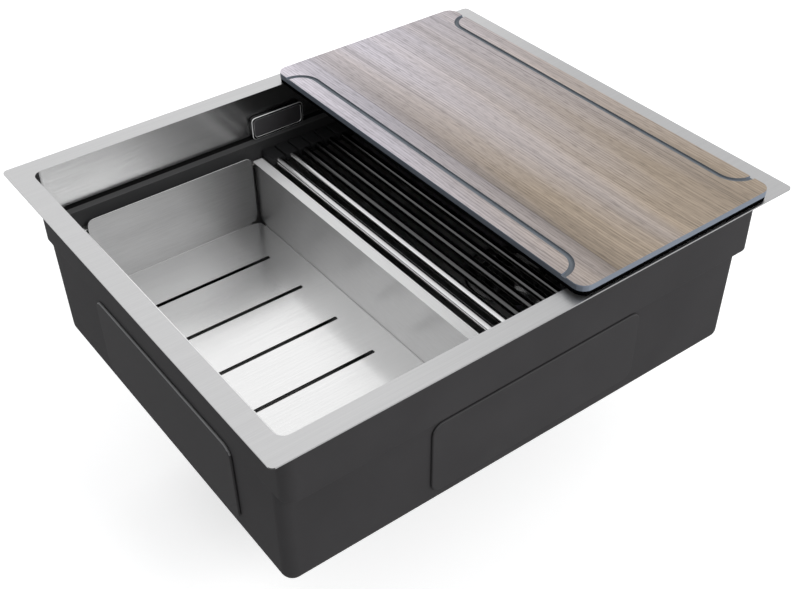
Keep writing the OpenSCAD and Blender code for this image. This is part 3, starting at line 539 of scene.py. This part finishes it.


# ---------------------------------------------------------------------------
# Pads: six sheets of damping rubber stuck to the bowl, one on each wall and
# two under the floor, which are each other's mirror image. They are sprayed
# over, so their edges look soft, and their upper edges carry a painted highlight.
# ---------------------------------------------------------------------------
pad_thick, pad_corner, pad_soft = 2.8, 12, 1.9
pad_paint = sprayed("pad_grey", (0.046, 0.0445, 0.046), 0.55, 700, 0.0001, 0.05)
# Painted highlights: the side pads' upper edges are painted light grey, the others' a little lighter than
# the pads.
pad_painted_highlight = sprayed("pad_painted_highlight_edge", (0.25, 0.25, 0.253), 0.5, 700, 0.00004, 0.1)
pad_top_painted_highlight = sprayed("pad_top_painted_highlight", (0.07, 0.068, 0.07), 0.5, 700, 0.00004, 0.1)
for name, low, high, across in (
    ("pad_front", (-124, -250, -176.5), (134, -205, -89.5), 1),
    ("pad_back", (-124, 205, -176.5), (134, 250, -89.5), 1),
    ("pad_left", (-300, -144, -171.5), (-262, 110, -79.5), 0),
    ("pad_right", (262, -144, -171.5), (300, 110, -79.5), 0),
    ("floor_pads", (-180, 20, -240), (-30, 170, -188), 2),
):
    on_floor = across == 2
    cut = block(name + "_sheet", low, high)
    round_edges(cut, lambda a, b: abs(a[across] - b[across]) > 1, pad_corner, 8)
    pad = tub(name + "_soft", coat_off + pad_thick, tub_top)
    combine(pad, cut, "INTERSECT")
    combine(pad, tub("pad_seat", coat_off, tub_open), "DIFFERENCE")
    soften(pad, pad_soft, 4)
    if on_floor:
        twin = pad.modifiers.new("twin", "MIRROR")
        twin.use_axis = (False, True, False)
        apply_all(pad)
    dress(pad, pad_paint)
    painted_edge_highlight = pad_top_painted_highlight if across else pad_painted_highlight
    # Painted highlight on each wall pad's upward faces.
    dress_part(pad, painted_edge_highlight, lambda p, n: not on_floor and n.z > 0.35)
    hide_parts("pads_floor" if on_floor else name)
    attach(pad, "sink")


# ---------------------------------------------------------------------------
# Rails: two thin steel angles spot-welded inside the front and back walls.
# The colander's lips and the rack's strips slide on them.
# ---------------------------------------------------------------------------
rail_steel = steel("rail_steel", (0.56, 0.56, 0.55), 0.32)
for name in ("rail_front", "rail_back"):
    dress(bpy.data.objects[name], rail_steel)


# ---------------------------------------------------------------------------
# Overflow cover: a pressed plate with a raised edge round a dark panel. The
# plate is painted dark as a painted reflection, and its raised edge carries a
# painted highlight. It clips over a base that two screws hold through the wall.
# ---------------------------------------------------------------------------
cover_x, cover_z, cover_front = (-30, 37), (-51.7, -24.3), 222
cover_sheet, cover_edge, panel_gap = 1.2, 3.0, 0.05


def cover_form(name, inset, near, far, radius, steps=8):
    """A rounded block on the cover's outline, drawn in on all four sides, from near to far along Y."""
    made = block(name, (cover_x[0] + inset, near, cover_z[0] + inset),
                 (cover_x[1] - inset, far, cover_z[1] - inset))
    round_edges(made, lambda a, b: abs(a.y - b.y) > 0.5 and abs(a.x - b.x) + abs(a.z - b.z) < 0.01,
                radius, steps)
    return made


cover = cover_form("cover_ring", 0, cover_front, cover_front + 5, 5)
round_edges(cover, lambda a, b: max(a.y, b.y) < cover_front + 0.01, 0.7, 3)
cover_back = cover_form("cover_back", cover_sheet, cover_front + cover_sheet, cover_front + 7, 3.8)
combine(cover, cover_back, "DIFFERENCE")
combine(cover, cover_form("cover_window", cover_edge, cover_front - 1, cover_front + 3, 3.5), "DIFFERENCE")
soften(cover, 0.4, 3)
# Painted reflection: the cover's steel is painted dark.
dress(cover, steel("cover_painted_reflection", (0.1, 0.1, 0.102), 0.22, lengthwise, 0.03, 0.00001))
# Painted highlight on the cover's raised edge, made less metallic so it shows from every side.
cover_painted_highlight = steel("cover_painted_highlight", (0.95, 0.95, 0.95), 0.16, (200, 200, 200), 0.01, 0.000004)
cover_painted_highlight.node_tree.nodes["Principled BSDF"].inputs["Metallic"].default_value = 0.4
dress_part(cover, cover_painted_highlight, lambda p, n: 0.12 < -n.y < 0.97)
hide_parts("overflow_cover")
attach(cover, "sink")

panel_front, panel_back = cover_front + 0.6, cover_front + cover_sheet
panel = cover_form("cover_panel", cover_edge + panel_gap, panel_front, panel_back, 3.45)
combine(panel, cover_form("cover_panel_foot", cover_sheet + 0.1, panel_back, panel_back + 1, 3.8), "UNION")
soften(panel, 0.15)
dress(panel, sprayed("cover_dark_paint", (0.055, 0.053, 0.056), 0.32, 1500, 0.00001))
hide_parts("overflow_panel")
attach(panel, "sink")


# ---------------------------------------------------------------------------
# Behind the wall: the overflow's base and screws, a rubber gasket, a white
# plastic housing, and a ribbed hose down to the drain, with a nut each end.
# ---------------------------------------------------------------------------
screw_steel = steel("screw_steel", (0.6, 0.6, 0.59), 0.24, (300, 300, 300), 0.03)
black_rubber = sprayed("black_rubber", (0.018, 0.018, 0.018), 0.7, 1200, 0.00003)
white_plastic = sprayed("white_plastic", (0.66, 0.66, 0.64), 0.42, 1600, 0.00001)
nut_plastic = sprayed("nut_plastic", (0.05, 0.05, 0.05), 0.45, 1600, 0.00001)
for name, look in (
    ("overflow_base", screw_steel), ("overflow_screws", screw_steel),
    ("overflow_gasket", black_rubber), ("overflow_housing", white_plastic),
    ("hose_clamp_top", nut_plastic), ("hose_clamp_bottom", nut_plastic),
):
    dress(bpy.data.objects[name], look)

hose_r, hose_groove, hose_wall = 11.0, 1.4, 1.4
hose_ribs, hose_sides, hose_steps = 120, 28, 10
hose_top = Vector((3.5, 238.7, -55.0))
inlet_z = -291.38
hose_down = (
    (0, 0, 0), (0, 0, -24), (0, 0, -46), (4, 0, -92), (16, -2, -138), (40, -14, -182), (74, -46, -216))
hose_in = ((110, 151, 6), (148, 121, 0), (170, 91, 0), (170, 69, 0), (170, 45, 0))
hose_stops = [hose_top + Vector(step) for step in hose_down]
hose_stops += [Vector((x, y, inlet_z + up)) for x, y, up in hose_in]


def between(a, b, c, d, t):
    """A point of the smooth curve from b to c, with a and d beyond them."""
    square = 2 * a - 5 * b + 4 * c - d
    cube = 3 * b - a - 3 * c + d
    return 0.5 * (2 * b + (c - a) * t + square * t * t + cube * t ** 3)


hose_ends = [2 * hose_stops[0] - hose_stops[1]] + hose_stops + [2 * hose_stops[-1] - hose_stops[-2]]
hose_path = []
for k in range(len(hose_stops) - 1):
    for step in range(hose_steps):
        hose_path.append(between(*hose_ends[k:k + 4], step / hose_steps))
hose_path.append(hose_stops[-1])
hose_run = sum((b - a).length for a, b in zip(hose_path, hose_path[1:]))
line = bpy.data.curves.new("hose_line", "CURVE")
line.dimensions = "3D"
line.twist_mode = "MINIMUM"
thread = line.splines.new("POLY")
thread.points.add(len(hose_path) - 1)
for point, place in zip(thread.points, hose_path):
    point.co = (*(place / 1000), 1)
guide = bpy.data.objects.new("hose_line", line)
bpy.context.scene.collection.objects.link(guide)
rib = hose_run / hose_ribs
bpy.ops.object.select_all(action="DESELECT")
bpy.ops.mesh.primitive_cylinder_add(
    vertices=hose_sides, radius=hose_r / 1000, depth=rib / 1000, end_fill_type="NOTHING",
    rotation=(0, math.pi / 2, 0), location=(rib / 2000, 0, 0))
hose = bpy.context.object
hose.name = "overflow_ribbed_hose"
bpy.ops.object.transform_apply(location=True, rotation=True, scale=True)
pick(hose, "EDGE", lambda a, b: abs(a.x - b.x) > 0.5)
bpy.ops.mesh.subdivide(number_cuts=3)
shut()
pick(hose, "VERT", lambda p: p.x < 0.01 or p.x > rib - 0.01)
narrow = (hose_r - hose_groove) / hose_r
bpy.ops.transform.resize(value=(1, narrow, narrow), center_override=(0, 0, 0))
shut()
ribs = hose.modifiers.new("ribs", "ARRAY")
ribs.count = hose_ribs
ribs.use_relative_offset = False
ribs.use_constant_offset = True
ribs.constant_offset_displace = (rib / 1000, 0, 0)
ribs.use_merge_vertices = True
ribs.merge_threshold = 0.00001
apply_all(hose)
bend = hose.modifiers.new("bend", "CURVE")
bend.object = guide
bend.deform_axis = "POS_X"
apply_all(hose)
wall = hose.modifiers.new("wall", "SOLIDIFY")
wall.thickness = hose_wall / 1000
wall.offset = -1
apply_all(hose)
bpy.data.objects.remove(guide, do_unlink=True)
hold(hose)
bpy.ops.object.shade_smooth_by_angle(angle=math.radians(60))
dress(hose, sprayed("hose_plastic", (0.6, 0.6, 0.58), 0.4, 1600, 0.00001))
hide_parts("overflow_hose")
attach(hose, "sink")


# ---------------------------------------------------------------------------
# Drain: a pressed steel body in the floor's recess, clamped from below by a
# rubber gasket, a slip ring and a plastic nut, with an adapter for the trap.
# ---------------------------------------------------------------------------
# Painted shade: the drain's polished steel is painted dark, as it lies in shade under the colander and
# rack.
drain_painted_shade_steel = steel("drain_painted_shade_steel", (0.3, 0.3, 0.298), 0.2, (300, 300, 300), 0.03, 0.000006)
for name, look in (
    ("drain_body", drain_painted_shade_steel), ("drain_tube", drain_painted_shade_steel), ("drain_seal", black_rubber),
    ("drain_gasket", black_rubber), ("drain_slip_ring", white_plastic),
    ("drain_lock_nut", white_plastic), ("drain_adapter", white_plastic),
):
    dress(bpy.data.objects[name], look)


# ---------------------------------------------------------------------------
# Basket: a perforated steel cup with a knob post through it and a rubber
# stopper below. It lies loose in the drain body and lifts out.
# ---------------------------------------------------------------------------
for name, look in (
    # The basket shares the drain's painted shade.
    ("basket_cup", drain_painted_shade_steel), ("basket_post", drain_painted_shade_steel), ("basket_stopper", black_rubber),
):
    dress(bpy.data.objects[name], look)


# ---------------------------------------------------------------------------
# Colander: one sheet of stainless steel folded into a tray. Its corners are
# left open as slits that end in reliefs, its floor is slotted, and the lips
# of its long sides lie on the rails. Each face has its own brushing. The walls
# are painted darker as painted shade, and the lips lighter as a painted highlight.
# ---------------------------------------------------------------------------
tray_left, tray_right, tray_end = -243.95, -38.65, 208.5
tray_floor, lip_top, tray_top = -149.5, -71.3, -62.5
tray_sheet, tray_bend = 1.0, 0.9
slit, relief, notch_out, notch_half, ear_r = 3.5, 13.0, 1.6, 1.8, 8
side_end, lip_end, lip_reach, lip_corner = 212, 213, 12.4, 2.0
slot_count, slot_pitch, slot_mid, slot_long, slot_wide, slot_corner = 5, 65.7, 11.5, 147, 5, 1.4
tray_mid = (tray_left + tray_right) / 2
above_tray = -50


def block_between(name, a, b):
    """A block between any two opposite corners."""
    return block(name, [min(u, v) for u, v in zip(a, b)], [max(u, v) for u, v in zip(a, b)])


tray_low = (tray_left - tray_sheet, -tray_end - tray_sheet, tray_floor - tray_sheet)
tray = block("colander_tray_folded", tray_low, (tray_right + tray_sheet, tray_end + tray_sheet, tray_top))
round_edges(tray, lambda a, b: max(a.z, b.z) < tray_floor - 0.9, tray_bend + tray_sheet, 4)
hollow = block("tray_in", (tray_left, -tray_end, tray_floor), (tray_right, tray_end, above_tray + 10))
round_edges(hollow, lambda a, b: max(a.z, b.z) < tray_floor + 0.1, tray_bend, 4)
combine(tray, hollow, "DIFFERENCE")
for side, edge in ((-1, tray_left), (1, tray_right)):
    trim = block_between("side_trim", (edge, -side_end, lip_top), (edge + side * 2, side_end, above_tray))
    combine(tray, trim, "DIFFERENCE")
    outer = edge + side * lip_reach
    lip = round_block("lip", (min(edge, outer), -lip_end, lip_top - tray_sheet),
                      (max(edge, outer), lip_end, lip_top), lip_corner, 5)
    combine(tray, lip, "UNION")
    for end in (-1, 1):
        slit_cut = block_between("slit", (edge, end * (tray_end - 0.2), tray_floor + 2),
                                 (edge - side * slit, end * (tray_end + 4), above_tray))
        combine(tray, slit_cut, "DIFFERENCE")
        # Each of the three sheets that meet in a bottom corner ends in a hollow curve.
        corner = Vector((edge, end * tray_end, tray_floor))
        inward = Vector((-side, -end, 1))
        for axis in range(3):
            a = corner - inward * notch_out
            b = corner + inward * relief
            a[axis], b[axis] = corner[axis] - notch_half, corner[axis] + notch_half
            notch = block_between("notch", a, b)
            centre = corner + inward * relief
            centre[axis] = corner[axis]
            combine(notch, bar("notch_round", axis, centre, relief, 6), "DIFFERENCE")
            combine(tray, notch, "DIFFERENCE")
for end in (-1, 1):
    for side, edge in ((-1, tray_left + slit), (1, tray_right - slit)):
        inner, under = edge - side * ear_r, tray_top - ear_r
        ear = block_between("corner", (edge, end * tray_end - 4, under),
                            (inner, end * tray_end + 4, tray_top + 4))
        ear_round = bar("corner_round", 1, (inner, end * tray_end, under), ear_r, 20)
        combine(ear, ear_round, "DIFFERENCE")
        combine(tray, ear, "DIFFERENCE")
for k in range(slot_count):
    y = slot_mid + (k - slot_count // 2) * slot_pitch
    slot = round_block("slot", (tray_mid - slot_long / 2, y - slot_wide / 2, tray_floor - 3),
                       (tray_mid + slot_long / 2, y + slot_wide / 2, tray_floor + 3), slot_corner, 3)
    combine(tray, slot, "DIFFERENCE")
soften(tray, 0.12)


def on_slot_wall(p, n):
    return (abs(n.z) < 0.7 and tray_floor - 1.1 < p.z < tray_floor + 0.1
            and abs(p.x - tray_mid) < slot_long / 2 + 0.5 and abs(p.y) < 150)


# Painted shade: the floor darkens towards its back end, and the end walls towards the right. The walls are
# darker copies of the floor's steel, and the lips a near-white copy, as a painted highlight.
floor_painted_shade = ((0, 1, 0), 0.14, 0.21, 0.8)
end_painted_shade = ((1, 0, 0), -0.14, -0.04, 0.4)
floor_steel = steel("tray_floor_steel", (0.94, 0.94, 0.94), 0.2, (16, 900, 900), 0.04, 0.00003, floor_painted_shade)
floor_steel.node_tree.nodes["Principled BSDF"].inputs["Metallic"].default_value = 0.82
end_wall_painted_shade = steel("tray_end_wall_painted_shade", (0.51, 0.51, 0.512), 0.3, (40, 900, 900), 0.06, 0.00002, end_painted_shade)
side_wall_painted_shade = steel("tray_side_wall_painted_shade", (0.5, 0.5, 0.502), 0.34, (900, 60, 900), 0.05)
lip_painted_highlight = steel("tray_lip_painted_highlight", (0.97, 0.97, 0.97), 0.6, (900, 30, 900), 0.03)
lip_painted_highlight.node_tree.nodes["Principled BSDF"].inputs["Metallic"].default_value = 0.4
# Painted shade: the slots' inner walls are painted near black.
slot_wall_painted_shade = steel("tray_slot_wall_painted_shade", (0.02, 0.02, 0.02), 0.6, (900, 900, 900), 0.02)
dress(tray, floor_steel)
dress_part(tray, end_wall_painted_shade, lambda p, n: abs(n.y) > 0.12)
dress_part(tray, side_wall_painted_shade, lambda p, n: abs(n.x) > 0.12)
dress_part(tray, lip_painted_highlight, lambda p, n: p.z > lip_top - 0.3 and n.z > 0.5)
dress_part(tray, slot_wall_painted_shade, on_slot_wall)
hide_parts("colander_tray")
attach(tray, "colander")


# ---------------------------------------------------------------------------
# Rack: seventeen drawn steel rods held at each end in a soft rubber strip, in
# a pad for each rod. Thin webs between the pads let the rack roll up.
# ---------------------------------------------------------------------------
rod_x, rod_pitch, rod_count, rod_z = -16.9, 17.4, 17, -67.5
rod_r, rod_long = 4.5, 426.4
strip_near, strip_far, strip_low, strip_top = 191.0, 215.7, -72.3, -62.7
strip_half, strip_corner, strip_soft = 7.5, 1.5, 0.9
hole_r, hole_mid, hole_long = 4.55, 202.1, 22.4
web_near, web_far, web_low, web_top, web_from = 192.0, 207.7, -69, -66, 7


def repeat(piece, count, step):
    """Copies a piece along X, a step in mm apart."""
    row = piece.modifiers.new("row", "ARRAY")
    row.count = count
    row.use_relative_offset = False
    row.use_constant_offset = True
    row.constant_offset_displace = (step / 1000, 0, 0)
    apply_all(piece)


def paint_rod_flank_light_and_shade(material):
    """Paints a highlight on each rod's left flank that fades to painted shade on its right one, the same on
    all rods.
    """
    tree = material.node_tree
    body = tree.nodes["Principled BSDF"]
    brushed = body.inputs["Base Color"].links[0].from_socket
    place = tree.nodes.new("ShaderNodeSeparateXYZ")
    tree.links.new(tree.nodes["Texture Coordinate"].outputs["Object"], place.inputs["Vector"])
    turn = tree.nodes.new("ShaderNodeMath")
    turn.operation = "WRAP"
    turn.inputs[1].default_value = (rod_x + rod_pitch / 2) / 1000
    turn.inputs[2].default_value = (rod_x - rod_pitch / 2) / 1000
    tree.links.new(place.outputs["X"], turn.inputs[0])
    fade = tree.nodes.new("ShaderNodeMapRange")
    fade.inputs["From Min"].default_value = (rod_x - 4.0) / 1000
    fade.inputs["From Max"].default_value = (rod_x + 2.4) / 1000
    fade.inputs["To Min"].default_value = 1.0
    fade.inputs["To Max"].default_value = 0.1
    tree.links.new(turn.outputs[0], fade.inputs["Value"])
    tone = tree.nodes.new("ShaderNodeVectorMath")
    tone.operation = "SCALE"
    tree.links.new(brushed, tone.inputs[0])
    tree.links.new(fade.outputs["Result"], tone.inputs["Scale"])
    tree.links.new(tone.outputs["Vector"], body.inputs["Base Color"])


rods = bar("rack_rods_drawn", 1, (rod_x, 0, rod_z), rod_r, rod_long, 40)
soften(rods, 0.5, 3)
repeat(rods, rod_count, rod_pitch)
# Painted shade: the rods to the right, under the board, are painted darker.
row_painted_shade = ((1, 0, 0), 0.003, 0.013, 0.13)
rod_steel = steel("rod_steel", (0.85, 0.85, 0.855), 0.18, (900, 20, 900), 0.04, 0.00001, row_painted_shade)
paint_rod_flank_light_and_shade(rod_steel)
dress(rods, rod_steel)
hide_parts("rack_rods")
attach(rods, "rack")

strip_rubber = sprayed("strip_rubber", (0.016, 0.016, 0.017), 0.6, 1400, 0.00002, 0.2)
for name, end in (("rack_strip_front", -1), ("rack_strip_back", 1)):
    near, far = sorted((end * strip_near, end * strip_far))
    strip = round_block(name + "_pads", (rod_x - strip_half, near, strip_low),
                        (rod_x + strip_half, far, strip_top), strip_corner, 4)
    soften(strip, strip_soft, 3)
    hole = bar("rod_hole", 1, (rod_x, end * hole_mid, rod_z), hole_r, hole_long, 40)
    combine(strip, hole, "DIFFERENCE")
    repeat(strip, rod_count, rod_pitch)
    web = block_between(name + "_web", (rod_x + web_from, end * web_near, web_low),
                        (rod_x + rod_pitch - web_from, end * web_far, web_top))
    repeat(web, rod_count - 1, rod_pitch)
    hold(strip, web)
    bpy.ops.object.join()
    dress(strip, strip_rubber)
    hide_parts(name)
    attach(strip, "rack")


# ---------------------------------------------------------------------------
# Cutting board: a wood-look laminate face on a blue-grey fibre core, over a
# black base. Two juice grooves are milled through the face into the core.
# ---------------------------------------------------------------------------
board_left, board_right, board_front, board_back, board_corner = 17.0, 268.0, -248.05, 240.45, 12
base_low, core_low, face_low, face_top = 1.8, 6.8, 12.3, 13.3
groove_out, groove_in, core_cut, face_cut = (51.5, 223.0), (40.5, 217.5), 11.3, 11
above_board = 20
core_blue = (0.2, 0.23, 0.28)


def board_slab(name, low, high, inset=0.0):
    """One layer of the board between two levels, drawn in a little where it is the base."""
    return round_block(name, (board_left + inset, board_front + inset, low),
                       (board_right - inset, board_back - inset, high), board_corner - inset, 10)


def groove_bar(name, edge, size, low, high):
    """A bar with round ends along the board's edge, of a width and half a length."""
    wide, run = size
    middle = (board_front + board_back) / 2
    return round_block(name, (edge - wide / 2, middle - run, low), (edge + wide / 2, middle + run, high),
                       wide / 2 - 0.01, 18)


def cut_grooves(piece, level):
    """Mills the two juice grooves down to a level: the outer bar's outline less the inner one's."""
    for edge in (board_left, board_right):
        groove = groove_bar("groove_outer", edge, groove_out, level, above_board)
        inner = groove_bar("groove_inner", edge, groove_in, level - 1, above_board + 1)
        combine(groove, inner, "DIFFERENCE")
        combine(piece, groove, "DIFFERENCE")


def in_groove(p, n):
    return (board_left + 5 < p.x < board_right - 5 and board_front + 5 < p.y < board_back - 5
            and (10 < p.z < face_low - 0.05 or (p.z > face_low and n.z < 0.7)))


seams = ((0.060, 0.0007), (0.2345, 0.0006))
plank_tones = (
    (0.17, 0.66), (0.34, 0.91), (0.5, 0.96), (0.68, 0.88), (0.86, 0.8), (0.89, 0.79), (0.91, 0.88))


def laminate(name, cool, warm):
    """Oak-look laminate: pores along Y, growth rings, two seams, and a shift from cool grey to tan that is
    partly a painted sheen, with a painted sheen lighter to the back and a painted highlight at the left
    back corner.
    """
    made = bpy.data.materials.new(name)
    made.use_nodes = True
    nodes = made.node_tree.nodes
    links = made.node_tree.links
    body = nodes["Principled BSDF"]
    place = nodes.new("ShaderNodeTexCoord")

    def noise(scale, detail, source, rough=0.6):
        stretch = nodes.new("ShaderNodeMapping")
        stretch.inputs["Scale"].default_value = scale
        links.new(source, stretch.inputs["Vector"])
        grain = nodes.new("ShaderNodeTexNoise")
        grain.inputs["Scale"].default_value = 1.0
        grain.inputs["Detail"].default_value = detail
        grain.inputs["Roughness"].default_value = rough
        links.new(stretch.outputs["Vector"], grain.inputs["Vector"])
        return grain.outputs["Fac"]

    def ramp(source, low, high, dark, light):
        tone = nodes.new("ShaderNodeMapRange")
        tone.inputs["From Min"].default_value = low
        tone.inputs["From Max"].default_value = high
        tone.inputs["To Min"].default_value = dark
        tone.inputs["To Max"].default_value = light
        links.new(source, tone.inputs["Value"])
        return tone.outputs["Result"]

    def joined(how, a, b):
        both = nodes.new("ShaderNodeMath")
        both.operation = how
        links.new(a, both.inputs[0])
        links.new(b, both.inputs[1])
        return both.outputs[0]

    def times(a, b):
        return joined("MULTIPLY", a, b)

    def plus(a, b):
        return joined("ADD", a, b)

    straight = place.outputs["Object"]
    sway = nodes.new("ShaderNodeTexNoise")
    sway.inputs["Scale"].default_value = 3.0
    links.new(straight, sway.inputs["Vector"])
    bent = nodes.new("ShaderNodeVectorMath")
    bent.operation = "MULTIPLY_ADD"
    bent.inputs[1].default_value = (0.012, 0.0, 0.0)
    links.new(sway.outputs["Color"], bent.inputs[0])
    links.new(straight, bent.inputs[2])
    split = nodes.new("ShaderNodeSeparateXYZ")
    links.new(straight, split.inputs["Vector"])
    across, along = split.outputs["X"], split.outputs["Y"]
    # Fine lines, short pores and broad bands, all along the board's length.
    lines = noise((560, 3, 1), 2.0, bent.outputs["Vector"], 0.5)
    pores = noise((800, 60, 1), 1.0, bent.outputs["Vector"], 0.5)
    bands = noise((34, 1.4, 1), 3.0, bent.outputs["Vector"])
    shade = times(ramp(lines, 0.36, 0.6, 0.82, 1.05), ramp(pores, 0.32, 0.48, 0.76, 1.03))
    shade = times(shade, ramp(bands, 0.3, 0.7, 0.92, 1.07))
    # Growth rings, drawn out along the length: a fine set and a wide one.
    fine = nodes.new("ShaderNodeTexWave")
    fine.bands_direction = "X"
    fine.inputs["Scale"].default_value = 92.0
    fine.inputs["Distortion"].default_value = 1.5
    fine.inputs["Detail"].default_value = 2.0
    fine.inputs["Detail Scale"].default_value = 1.5
    rings = nodes.new("ShaderNodeTexWave")
    rings.bands_direction = "X"
    rings.inputs["Scale"].default_value = 9.0
    rings.inputs["Distortion"].default_value = 9.0
    rings.inputs["Detail"].default_value = 2.0
    rings.inputs["Detail Scale"].default_value = 0.6
    flat = nodes.new("ShaderNodeMapping")
    flat.inputs["Scale"].default_value = (1.0, 0.12, 1.0)
    links.new(bent.outputs["Vector"], flat.inputs["Vector"])
    links.new(flat.outputs["Vector"], fine.inputs["Vector"])
    links.new(flat.outputs["Vector"], rings.inputs["Vector"])
    shade = times(shade, ramp(fine.outputs["Fac"], 0.0, 0.6, 0.86, 1.03))
    shade = times(shade, ramp(rings.outputs["Fac"], 0.0, 0.25, 0.9, 1.0))
    # Two seams between the printed planks.
    for seam_at, wide in seams:
        seam = nodes.new("ShaderNodeMath")
        seam.operation = "COMPARE"
        seam.inputs[1].default_value = seam_at
        seam.inputs[2].default_value = wide
        links.new(across, seam.inputs[0])
        shade = times(shade, ramp(seam.outputs[0], 0.0, 1.0, 1.0, 0.7))
    # The planks' own tones across the width, then a painted sheen that is lighter to the back, and a
    # painted highlight at the left back corner.
    heart = nodes.new("ShaderNodeValToRGB")
    heart.color_ramp.interpolation = "EASE"
    heart.color_ramp.elements.remove(heart.color_ramp.elements[1])
    heart.color_ramp.elements[0].color = (0.9, 0.9, 0.9, 1)
    for position, level in plank_tones:
        stop = heart.color_ramp.elements.new(position)
        stop.color = (level, level, level, 1)
    links.new(ramp(across, 0.017, 0.268, 0.0, 1.0), heart.inputs["Fac"])
    shade = times(shade, heart.outputs["Color"])
    shade = times(shade, ramp(along, -0.248, 0.24, 0.87, 1.09))
    back_left_painted_sheen = times(ramp(along, 0.09, 0.22, 0.0, 0.26), ramp(across, 0.065, 0.1, 1.0, 0.0))
    shade = times(shade, ramp(back_left_painted_sheen, 0.0, 1.0, 1.0, 2.0))
    # Warmer towards the front, with stripes, and each plank a little warmer or cooler; the cool grey
    # towards the back is partly the print's colour and partly a painted sheen.
    where = nodes.new("ShaderNodeVectorMath")
    where.operation = "DOT_PRODUCT"
    where.inputs[1].default_value = (0.3, -1.9, 0.0)
    links.new(straight, where.inputs[0])
    stripes = noise((17, 0.9, 1), 2.0, bent.outputs["Vector"], 0.4)
    warmth = ramp(where.outputs["Value"], -0.43, 0.55, 0.06, 0.94)
    warmth = plus(warmth, ramp(stripes, 0.3, 0.7, -0.28, 0.28))
    warmth = plus(warmth, ramp(across, 0.241, 0.246, 0.0, 0.2))
    warmth = plus(warmth, ramp(across, 0.0595, 0.0605, -0.25, 0.06))
    hue = nodes.new("ShaderNodeValToRGB")
    hue.color_ramp.elements[0].position = 0.0
    hue.color_ramp.elements[0].color = (*cool, 1)
    hue.color_ramp.elements[1].position = 1.0
    hue.color_ramp.elements[1].color = (*warm, 1)
    links.new(warmth, hue.inputs["Fac"])
    final = nodes.new("ShaderNodeVectorMath")
    final.operation = "SCALE"
    links.new(hue.outputs["Color"], final.inputs[0])
    links.new(shade, final.inputs["Scale"])
    links.new(final.outputs["Vector"], body.inputs["Base Color"])
    body.inputs["Roughness"].default_value = 0.5
    body.inputs["Specular IOR Level"].default_value = 0.3
    relief_map = nodes.new("ShaderNodeBump")
    relief_map.inputs["Strength"].default_value = 0.4
    relief_map.inputs["Distance"].default_value = 0.00008
    links.new(pores, relief_map.inputs["Height"])
    links.new(relief_map.outputs["Normal"], body.inputs["Normal"])
    return made


base = board_slab("board_base_black", base_low, core_low, 0.4)
soften(base, 0.8, 3)
dress(base, sprayed("board_black", (0.0016, 0.0016, 0.0018), 0.8, 1500, 0.00001, 0.0))
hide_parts("board_base")
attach(base, "board")

core = board_slab("board_core_grooved", core_low, face_low)
cut_grooves(core, core_cut)
soften(core, 0.3)
core_paint = sprayed("board_blue_grey", core_blue, 0.5, 1500, 0.00001, 0.15)
groove_paint = sprayed("board_groove_grey", (0.175, 0.195, 0.22), 0.5, 1500, 0.00001, 0.1)
dress(core, core_paint)
dress_part(core, groove_paint, in_groove)
# The left side lies in shade, and its tone rises in three steps round the corners.
for share, turn, level in (("deep", -0.9, 0.5), ("mid", -0.65, 0.68), ("light", -0.35, 0.85)):
    edge_grey = [c * level for c in core_blue]
    dress_part(core, sprayed("board_edge_" + share, edge_grey, 0.5, 1500, 0.00001, 0.15),
               lambda p, n: turn - 0.3 < n.x < turn and p.x < board_left + board_corner and abs(n.z) < 0.5)
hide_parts("board_core")
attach(core, "board")

wood = board_slab("board_wood_face", face_low, face_top)
cut_grooves(wood, face_cut)
soften(wood, 0.25)
dress(wood, laminate("board_oak", (0.66, 0.62, 0.675), (0.49, 0.395, 0.305)))
dress_part(wood, groove_paint, in_groove)
dress_part(wood, core_paint, lambda p, n: n.z < 0.7 and not in_groove(p, n))
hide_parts("board_face")
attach(wood, "board")
